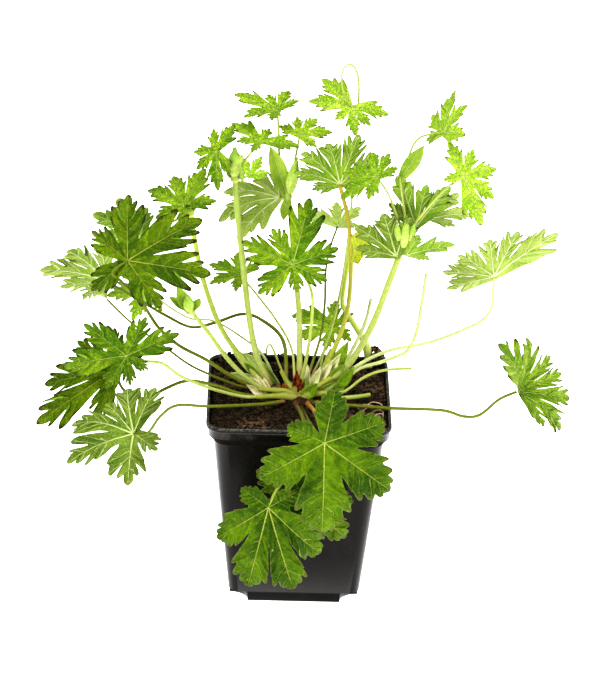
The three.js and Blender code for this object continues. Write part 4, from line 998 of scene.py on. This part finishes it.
grown_leaves = []
for number, (name, row) in enumerate(LEAVES.items(), 1):
    leaf = whole_leaf(name + "_blade", row, number)
    grown_leaves.append(leaf)
    seat(leaf, "leaf", name)

# ---- Flowering stems ----------------------------------------------------------------------------
# Stouter stems rise from the crown and fork at swollen nodes into short-stalked leaves, folded green
# bracts and closed flower buds, each bud five ribbed sepals drawn to a point.

# Each bud and each bract has a foot, a tip and a width.
STEMS = {
    "stem_tall": dict(
        radius=1.5, axis=[(-14, 0, 102), (-21, 2, 118), (-25, 4, 136), (-29, 6, 166), (-32, 8, 190),
            (-34, 9, 210)],
        leaves=[
            dict(tones="bright grown", stalk=[(-34, 9, 208), (-35, 7, 214), (-38, 6, 218), (-43, 4, 224)],
                tip=(-42, -5, 208), face=(-0.1, -0.85, 0.5), lobes=[(-215, 0.85), (-175, 0.6), (-90, 0.6),
                (-50, 0.7), (0, 1), (30, 0.7)]),
            dict(tones="fresh young", stalk=[(-34, 9, 209), (-29, 9, 218), (-22, 10, 227)],
                tip=(-36, 22, 233), face=(0, -0.35, 0.93), lobes=[(-150, 1), (-75, 0.5), (0, 1), (50, 0.6),
                (110, 0.5)]),
            dict(stalk=[(-34, 9, 208), (-30, 8, 209), (-27, 6, 211)], tip=(-21, 6, 221),
                face=(0, -0.95, 0.2), lobes=[(-45, 0.85), (0, 1), (45, 0.75)]),
        ],
        buds=[((-34, 9, 209), (-34, 9, 225), 6.5), ((-31, 8, 221), (-30, 8, 206), 3.6)],
        bracts=[((-34, 9, 208), (-30, 6, 214), 3), ((-34, 9, 208), (-38, 8, 213), 3)]),
    "stem_middle": dict(
        radius=1.4, axis=[(0, 1, 106), (0, 6, 117), (-1, 12, 139), (-4, 16, 164), (-6, 18, 184),
            (-8, 18, 198)],
        leaves=[
            dict(tones="fresh bright", stalk=[(-8, 18, 197), (-12, 22, 211), (-13, 24, 225),
                (-14, 24, 238)], tip=(-35, 34, 242), face=(-0.1, -0.25, 0.96), lobes=[(-130, 0.5),
                (-85, 0.65), (-40, 0.5), (0, 1), (50, 0.75), (105, 0.5)]),
            dict(tones="fresh bright", stalk=[(-7, 18, 198), (-5, 22, 212), (-3, 23, 226)],
                tip=(13, 26, 228), face=(0, -0.6, 0.8), lobes=[(-50, 0.65), (0, 1), (40, 0.85), (85, 0.65),
                (140, 0.7)]),
            dict(tones="bright bright", stalk=[(-8, 18, 195), (-10, 20, 194), (-12, 22, 194)],
                tip=(-40, 19, 201), face=(-0.15, 0.93, 0.3), lobes=[(-65, 1.1), (-30, 1.1), (0, 1),
                (30, 0.65), (70, 0.65)]),
        ],
        buds=[((-7, 17, 198), (-4, 12, 219), 5.5)],
        bracts=[((-8, 17, 196), (-17, 9, 225), 8), ((-8, 17, 196), (-10, 12, 186), 5)]),
    "stem_right": dict(
        radius=1.6, axis=[(12, 0, 102), (25, 2, 116), (35, 2, 136), (42, 0, 159), (49, -2, 183),
            (50, -2, 188)],
        leaves=[
            dict(tones="fresh bright", stalk=[(49, -2, 184), (44, -7, 198), (40, -10, 209), (34, -12, 219)],
                tip=(17, -19, 212), face=(0, -0.7, 0.7), lobes=[(-185, 0.55), (-145, 0.7), (-110, 0.65),
                (-35, 0.85), (0, 1), (40, 0.65)]),
            dict(stalk=[(50, -2, 186), (48, 3, 207), (49, 5, 221), (53, 7, 231), (60, 8, 234),
                (66, 8, 235)], tip=(70, 22, 252), face=(-0.8, -0.3, 0.45), lobes=[(-105, 0.9), (-55, 0.85),
                (0, 1), (50, 0.8), (100, 0.6)]),
            dict(tones="young bright", stalk=[(50, -2, 187), (54, -5, 194), (60, -7, 203), (68, -8, 213),
                (75, -8, 219)], tip=(85, -16, 197), face=(0.25, -0.85, 0.45), lobes=[(0, 1), (35, 0.75),
                (80, 0.7), (135, 0.55), (180, 0.7), (260, 0.4)]),
            dict(tones="bright grown", stalk=[(49, -2, 184), (52, -2, 188), (54, -2, 190)],
                tip=(44, -6, 218), face=(0, 0.95, 0.25), lobes=[(-30, 0.6), (0, 1), (30, 0.8), (55, 0.9)]),
            dict(tones="bright bright", stalk=[(50, -1, 184), (55, 2, 189), (61, 4, 192)],
                tip=(81, -1, 198), face=(0.2, 0.93, 0.3), lobes=[(-70, 0.7), (-35, 1.05), (0, 1),
                (35, 0.6)]),
            dict(tones="bright shaded", stalk=[(48, -2, 180), (46, -5, 178), (45, -6, 176)],
                tip=(24, -14, 195), face=(-0.15, 0.93, 0.3), lobes=[(-30, 0.7), (0, 1), (30, 1.05),
                (60, 0.8)]),
            dict(tones="bright grown", stalk=[(48, -2, 180), (49, -3, 177), (50, -4, 176)],
                tip=(73, -8, 183), face=(0.1, 0.85, 0.5), lobes=[(-50, 0.6), (0, 1), (40, 0.5)]),
        ],
        buds=[((48, -5, 180), (49, -9, 199), 5), ((46, -5, 183), (44, -11, 196), 3.6), ((51, -5, 183),
            (53, -9, 195), 3.6)],
        bracts=[((45, -6, 215), (56, -6, 233), 7), ((12, 0, 102), (22, -1, 116), 5)],
        twig=[(50, -2, 187), (47, -5, 204), (45, -6, 217)]),
    "stem_left": dict(
        radius=1.3, skin="shoot", axis=[(-17, 3, 101), (-27, 8, 112), (-39, 10, 129), (-48, 10, 154),
            (-53, 9, 178), (-55, 8, 192)],
        leaves=[
            dict(tones="bright grown", stalk=[(-55, 8, 191), (-57, 6, 193), (-58, 4, 195)],
                tip=(-76, 14, 202), face=(0, -0.6, 0.8), lobes=[(-130, 0.75), (-80, 1.1), (-40, 0.95),
                (0, 1), (60, 0.7), (120, 0.5)]),
            dict(tones="bright grown", stalk=[(-55, 8, 190), (-62, 6, 187), (-70, 5, 184), (-79, 5, 178)],
                tip=(-102, -3, 194), face=(-0.2, 0.93, 0.3), lobes=[(-60, 0.6), (-30, 0.7), (0, 1),
                (30, 0.95), (65, 0.6)]),
        ],
        bracts=[((-55, 8, 190), (-57, 2, 197), 4), ((-55, 8, 190), (-52, 3, 200), 4), ((-17, 3, 101),
            (-27, 5, 113), 4)]),
    "stem_low": dict(
        radius=1.1, bract_tone="grown", axis=[(-14, -4, 101.5), (-24, -8, 109), (-35, -12, 122),
            (-45, -16, 138), (-54, -19, 151)],
        buds=[((-54, -19, 150), (-55, -22, 160), 5)],
        bracts=[((-54, -19, 149), (-60, -22, 164), 6), ((-53, -18, 150), (-49, -22, 158), 4),
            ((-54, -19, 150), (-64, -20, 158), 4)]),
}
AXIS_TAPER = np.array((1.1, 1, 0.95, 0.9))
NODE_SWELLING = np.array((0.92, 1.45, 1.3, 0.5))
TWIG_RADII = (0.75, 0.6, 0.6)
FIRST_SEED = 40
BRACT_BOW = 0.12
BRACT_AWAY = (0, -1, 0.2)
BRACT_THICK = 0.3
# Share of a bud's length and of its full width there.
BUD_PROFILE = np.array([
    (0, 0.02), (0.02, 0.42), (0.06, 0.6), (0.2, 0.9), (0.36, 1), (0.55, 0.95), (0.72, 0.7), (0.84, 0.36),
    (0.93, 0.14), (1, 0.03),
])
BUD_STEPS = 30
SEPALS = 5


def bract_mesh(name, foot, tip, width, full=0.5, fold=0.32):
    """A pointed boat-shaped bract: fullest at a share of its length, folded along its keel, and bowed."""
    foot, tip = np.array(foot, float), np.array(tip, float)
    along = tip - foot
    length = np.linalg.norm(along)
    side = unit(np.cross(BRACT_AWAY, along))
    out = unit(np.cross(along, side))
    rows, columns = 15, 8
    points, rims, marks = [], [], []
    for row in range(rows + 1):
        t = row / rows
        past = max(0, t - full) / (1 - full)
        half = width / 2 * (0.35 + 0.65 * math.sin(min(1, t / full) * math.pi / 2)) * (1 - past**1.7)
        for column in range(columns + 1):
            s = 2 * column / columns - 1
            depth = fold * abs(s) * half * 1.4 - BRACT_BOW * length * math.sin(math.pi * t)
            wave = 0.03 * width * math.sin(9 * t + 4 * s)
            points.append(foot + along * t + side * half * s + out * (depth + wave * abs(s)))
            rims.append(1 - abs(s))
            marks.append((s * 0.22, 0.15 + 0.85 * t))
    feet = [row * (columns + 1) + column for row in range(rows) for column in range(columns)]
    sheet = new_piece(name, points, [(a, a + columns + 1, a + columns + 2, a + 1) for a in feet])
    chart_ribs(sheet, marks)
    mark_points(sheet, "rim", rims)
    mark_points(sheet, "count", [0] * len(points))
    weld(sheet, reach=0.02)
    return sheet


def bud_mesh(name, foot, tip, width):
    """A closed bud: a short swollen base, five ribbed sepals, and a beak of drawn-out points."""
    foot, tip = np.array(foot, float), np.array(tip, float)
    length = np.linalg.norm(tip - foot)
    ahead = unit(tip - foot)
    side = unit(np.cross(ahead, (0.2, 1, 0.1)))
    over = np.cross(ahead, side)
    rings = []
    for t in np.linspace(0, 1, BUD_STEPS):
        radius = width / 2 * np.interp(t, *BUD_PROFILE.T)
        ring = []
        for angle in np.arange(BUD_STEPS) / BUD_STEPS * 2 * math.pi:
            ribbed = 1 + 0.12 * math.cos(SEPALS * angle) * (1 - t) + 0.035 * math.cos(3 * SEPALS * angle)
            spin = angle + t * 0.5
            way = side * math.cos(spin) + over * math.sin(spin)
            ring.append(foot + ahead * length * t + way * radius * ribbed)
        rings.append(ring)
    pieces = [new_piece(name, *skin(rings))]
    mark_points(pieces[0], "along", [*np.repeat(np.linspace(0, 1, BUD_STEPS), BUD_STEPS), 0, 1])
    for k in range(SEPALS):
        angle = k / SEPALS * 2 * math.pi + 0.6
        away = side * math.cos(angle) + over * math.sin(angle)
        start = foot + ahead * length * 0.82 + away * width * 0.12
        end = foot + ahead * length + away * width * 0.3
        beak = [start, (start + end) / 2 + ahead * 0.4, end]
        pieces.append(stalk_mesh(f"{name}_awn_{k}", beak, (0.3, 0.08), sides=5))
    return pieces


sepal = Finish("bud_sepal", 0.3, 0.6)
sepal_streak = sepal.noise(500, 3).step(0.35, 0.65)
sepal_way = sepal.attribute("along")
sepal.colour((0.5, 0.6, 0.16), (sepal_way.step(0.1, 0.9), (0.3, 0.44, 0.055)),
             (sepal_streak * 0.4, (0.14, 0.27, 0.02)), (sepal_way.step(0.9, 1) * 0.7, (0.25, 0.09, 0.04)))
sepal.bump(sepal_streak, 0.00025)

stems = []
for stem_number, (name, row) in enumerate(STEMS.items()):
    radius = row["radius"]
    node = np.array(row["axis"][-1], float)
    below = unit(node - row["axis"][-2])
    swelling = [node - below * 4, node - below * 1.5, node + below * 1.2]
    parts = [stalk_mesh(name + "_axis", row["axis"], radius * AXIS_TAPER, sides=12)]
    parts.append(stalk_mesh(name + "_node", swelling, radius * NODE_SWELLING, sides=12))
    if "twig" in row:
        parts.append(stalk_mesh(name + "_twig", row["twig"], TWIG_RADII))
    for part in parts:
        dress(part, STALKS[row.get("skin", "stem")])
    for number, leaf in enumerate(row.get("leaves", [])):
        leaf = {**SMALL, **leaf, "tones": leaf.get("tones", "young young") + " stem"}
        parts.append(whole_leaf(f"{name}_leaf_{number}", leaf, FIRST_SEED + 10 * stem_number + number))
    tone = row.get("bract_tone", "bract")
    for number, bract in enumerate(row["bracts"]):
        sheet = bract_mesh(f"{name}_bract_{number}", *bract)
        parts.append(thicken(sheet, BRACT_THICK, BACKS[tone], GREENS[tone]))
    for number, bud in enumerate(row.get("buds", [])):
        parts += [dress(part, sepal) for part in bud_mesh(f"{name}_bud_{number}", *bud)]
    stem = join(name + "_green", parts)
    stems.append(stem)
    seat(stem, "stem", name)

# A yellow young leaf hangs folded beside the stalk of the middle leaf.
FOLDED = dict(foot=(25.5, 14.5, 163.5), tip=(29.5, 12, 182), width=10, full=0.75, fold=0.4)
folded = bract_mesh("folded_young_leaf", **FOLDED)
seat(thicken(folded, BRACT_THICK, GREENS["yellowed"], GREENS["yellowed"]), "leaf")

# ---- Bare stalks --------------------------------------------------------------------------------
# Leaf stalks that have lost or not yet opened their blade: bent, withered, cut short, or thin. They
# grow from the crown as the others do.

# Tone, radius and course of each.
BARE = {
    "stalk_bent_right": ("blanched", 0.9, [
        (17, -1, 100), (28, 5, 110), (40, 9, 113), (48, 10, 116), (53, 10, 119), (57, 12, 127), (59, 14, 139),
        (61, 16, 158)]),
    "stalk_withered": ("pale", 0.7, [
        (15, -4, 100), (23, -6, 104), (31, -4, 110), (39, -2, 113), (47, -1, 114), (55, 0, 114)]),
    "stalk_cut": ("pale", 1.1, [(12, -6, 99.5), (19, -9, 101.2), (27, -10, 102.5), (35, -10, 104)]),
    "stalk_thin": ("blanched", 0.95, [(13, 6, 99), (24, 20, 110), (32, 27, 125), (35, 30, 138)]),
}
BARE_TAPER = np.array((1.2, 1, 1, 0.9))

bare_stalks = []
for name, (tone, radius, course) in BARE.items():
    stalk = dress(stalk_mesh(name + "_skin", course, radius * BARE_TAPER), STALKS[tone])
    bare_stalks.append(stalk)
    seat(stalk, "stem", name)

# A thick shoot leans in from the back corner of the compost, swollen at its foot.
SHOOT = [
    (36, 39, 97), (34, 38, 108), (30.4, 37, 115.9), (27, 36, 121.6), (23.3, 35, 128), (21, 34, 133.5),
    (21.5, 30, 145.4), (22.6, 24, 159.1), (23, 17, 178),
]
SHOOT_RADII = (2.3, 2.1, 1.6, 1.3, 1.15, 1.1, 1, 0.9, 0.8)
shoot = dress(stalk_mesh("side_shoot", SHOOT, SHOOT_RADII, sides=12), STALKS["shoot"])
bare_stalks.append(shoot)
seat(shoot, "stem")

# ---- Sheaths on the crown -----------------------------------------------------------------------
# At the foot of the stalks stand papery cream and rust-brown sheaths, a few green folded leaves that
# haven't opened, and stubs of old stalks. Fine pale roots come up through the compost on the right.

sheath = Finish("papery_sheath", 0.3, 0.7)
sheath_streak = sheath.noise(330, 4).step(0.35, 0.65)
sheath.colour((0.86, 0.9, 0.5), (sheath.noise(110, 2).step(0.4, 0.62), (0.92, 0.86, 0.58)),
              (sheath_streak * 0.4, (0.62, 0.52, 0.26)))
sheath.bump(sheath_streak, 0.0003)

rust = Finish("rust_scale", 0.3, 0.6)
rust_streak = rust.noise(420, 4).step(0.4, 0.6)
rust.colour((0.4, 0.1, 0.015), (rust_streak, (0.06, 0.014, 0.005)))
rust.bump(rust_streak, 0.0003)

# Where along each it is fullest, how far it folds, and its finishes; then foot, tip and width of each.
SHEATHS = {
    "cream": (0.25, 0.6, sheath, sheath, [
        ((-16.6, -5, 99.6), (-23.7, -8, 111.1), 4.2), ((-15.6, -4.4, 99.4), (-20.8, -6, 111.3), 4),
        ((-14.6, -3.6, 99.6), (-17.3, -4, 108.9), 3.4), ((-17.8, -5.6, 99.6), (-25.6, -10, 107.7), 3.4),
        ((3.5, -2, 101.4), (4.1, -1, 115.1), 3.4), ((5.5, 0, 101), (10.6, 1, 113.3), 4.6),
        ((7, 1, 100.6), (16.5, 4, 115.3), 5.6), ((9, 2, 100.2), (20.3, 6, 118.3), 6.8)]),
    "fleshy": (0.3, 0.6, BACKS["bright"], GREENS["yellowed"], [
        ((8.6, -5, 100.6), (18.4, -8, 109.5), 4), ((0.6, -4, 100.3), (3.3, -4, 109.4), 3.4),
        ((-4, -6, 100), (-11, -9.5, 104), 4), ((12, -3, 99.6), (22, -6, 104.5), 4)]),
    "rust": (0.3, 0.7, rust, rust, [
        ((-1.4, -3, 100.3), (-1.2, -3, 112.6), 3.6), ((0.6, -5, 100.7), (0.8, -5, 109.3), 2.6),
        ((-8.8, -5, 99.9), (-10.8, -6, 105.7), 2.6), ((-6.3, -4, 100.1), (-7.9, -4, 106.4), 2.4)]),
    "folded": (0.5, 0.55, BACKS["downy"], GREENS["bract"], [
        ((-12, 7, 100), (-33.3, 10, 117.3), 7), ((-10, 7, 100), (-27.4, 9, 116.3), 6.4),
        ((-14, 3, 100), (-34.5, 4, 107.5), 6)]),
    "bright": (0.5, 0.55, GREENS["young"], GREENS["young"], [
        ((1.2, -8.2, 100), (8.6, -10, 109.1), 6.4), ((17, -3, 100), (26.7, -2, 115), 5.4),
        ((12, 6, 100), (24.2, 13, 122), 7)]),
}
# Swollen feet of the lowest stalks, each as points from the middle of the crown outwards.
STALK_FEET = [
    [(1, -7, 99.4), (-8, -8.6, 101.6), (-21, -10.4, 101.4)], [(0, -5, 100), (-9, -6, 103), (-20, -7, 104.4)],
    [(-1, -7, 99.6), (8, -7.4, 102.6), (19, -7.6, 103.4)], [(0, -4, 100.4), (8, -4, 104.4), (16, -3, 109.6)],
    [(1, -3, 100), (-5, -1, 104.6), (-9, 1, 111)],
]
FOOT_RADII = (2.1, 1.9, 1.3, 1)
SHEATH_THICK = 0.35

sheaths = []
for kind, (full, fold, inside, outside, spots) in SHEATHS.items():
    for number, (foot, tip, width) in enumerate(spots):
        sheet = bract_mesh(f"{kind}_{number}", foot, tip, width, full, fold)
        sheaths.append(thicken(sheet, SHEATH_THICK, inside, outside))
for course in STALK_FEET:
    sheaths.append(dress(stalk_mesh("stalk_foot", course, FOOT_RADII, sides=12), STALKS["tan"]))
seat(join("crown_sheaths", sheaths), "rhizome")

ROOTS = [
    [(31, -16, 97.6), (34, -13, 98.4), (38, -12, 98.2), (40, -15, 97.6)],
    [(33, -9, 97.4), (36, -8, 99), (40, -10, 99.2), (41, -13, 98.4), (38, -15, 97.6)],
    [(35, -18, 97.4), (38, -17, 99), (41, -18, 98.6), (41, -21, 97.6)],
    [(29, -12, 97.4), (32, -10, 98.6), (35, -11, 98.8), (37, -9, 97.6)],
    [(36, -24, 97.4), (38, -21, 98.6), (41, -20, 98.2), (41, -24, 97.4)],
    [(38, -28, 97.4), (37, -25, 98.2), (39, -22, 97.6)],
    [(28, -20, 97.4), (31, -22, 98), (35, -21, 97.4)],
]
ROOT_RADII = (0.28, 0.3, 0.16)
root_skin = Finish("pale_root", 0.3, 0.7)
root_skin.colour((0.8, 0.6, 0.46), (root_skin.noise(600, 2).step(0.4, 0.6), (0.5, 0.33, 0.2)))
root_skin.bump(root_skin.noise(2500, 2), 0.0001)
roots = [dress(stalk_mesh("root", course, ROOT_RADII, sides=6, ripple=0.3), root_skin) for course in ROOTS]
seat(join("fine_roots", roots), "rhizome")

# ---- Down ---------------------------------------------------------------------------------------
# Short white hairs stand on the stalks, stems, buds and bracts, and fringe the blades.

HAIR = dict(length=0.6, radius=0.025, lean=0.15, sides=(0, 2.094, 4.189))
# Hairs stand above this height, in metres.
HAIR_FLOOR = 0.1

down = Finish("white_down", 0.3, 0.6)
down.colour((0.5, 0.56, 0.36), (down.noise(900, 1), (0.7, 0.74, 0.55)))

for group_name, slot, group, density in (
    ("leaf_down", "leaf", grown_leaves, 6e5), ("stem_down", "stem", stems + bare_stalks, 7e5),
):
    ground = join("ground", [show("ground", original.data.copy()) for original in group])
    # One tapering three-sided hair that stands along +Z.
    foot = [(HAIR["radius"] * math.cos(a), HAIR["radius"] * math.sin(a), 0) for a in HAIR["sides"]]
    tip = (HAIR["length"] * HAIR["lean"], 0, HAIR["length"])
    hair = new_piece("hair", [*foot, tip], [(2, 1, 0), (0, 1, 3), (1, 2, 3), (2, 0, 3)], smooth=False)
    downy = scatter(group_name, ground, hair, down, Density=density, Floor=HAIR_FLOOR, Largest=1.2, Tilt=0.6)
    seat(downy, slot)
    bpy.data.objects.remove(ground)
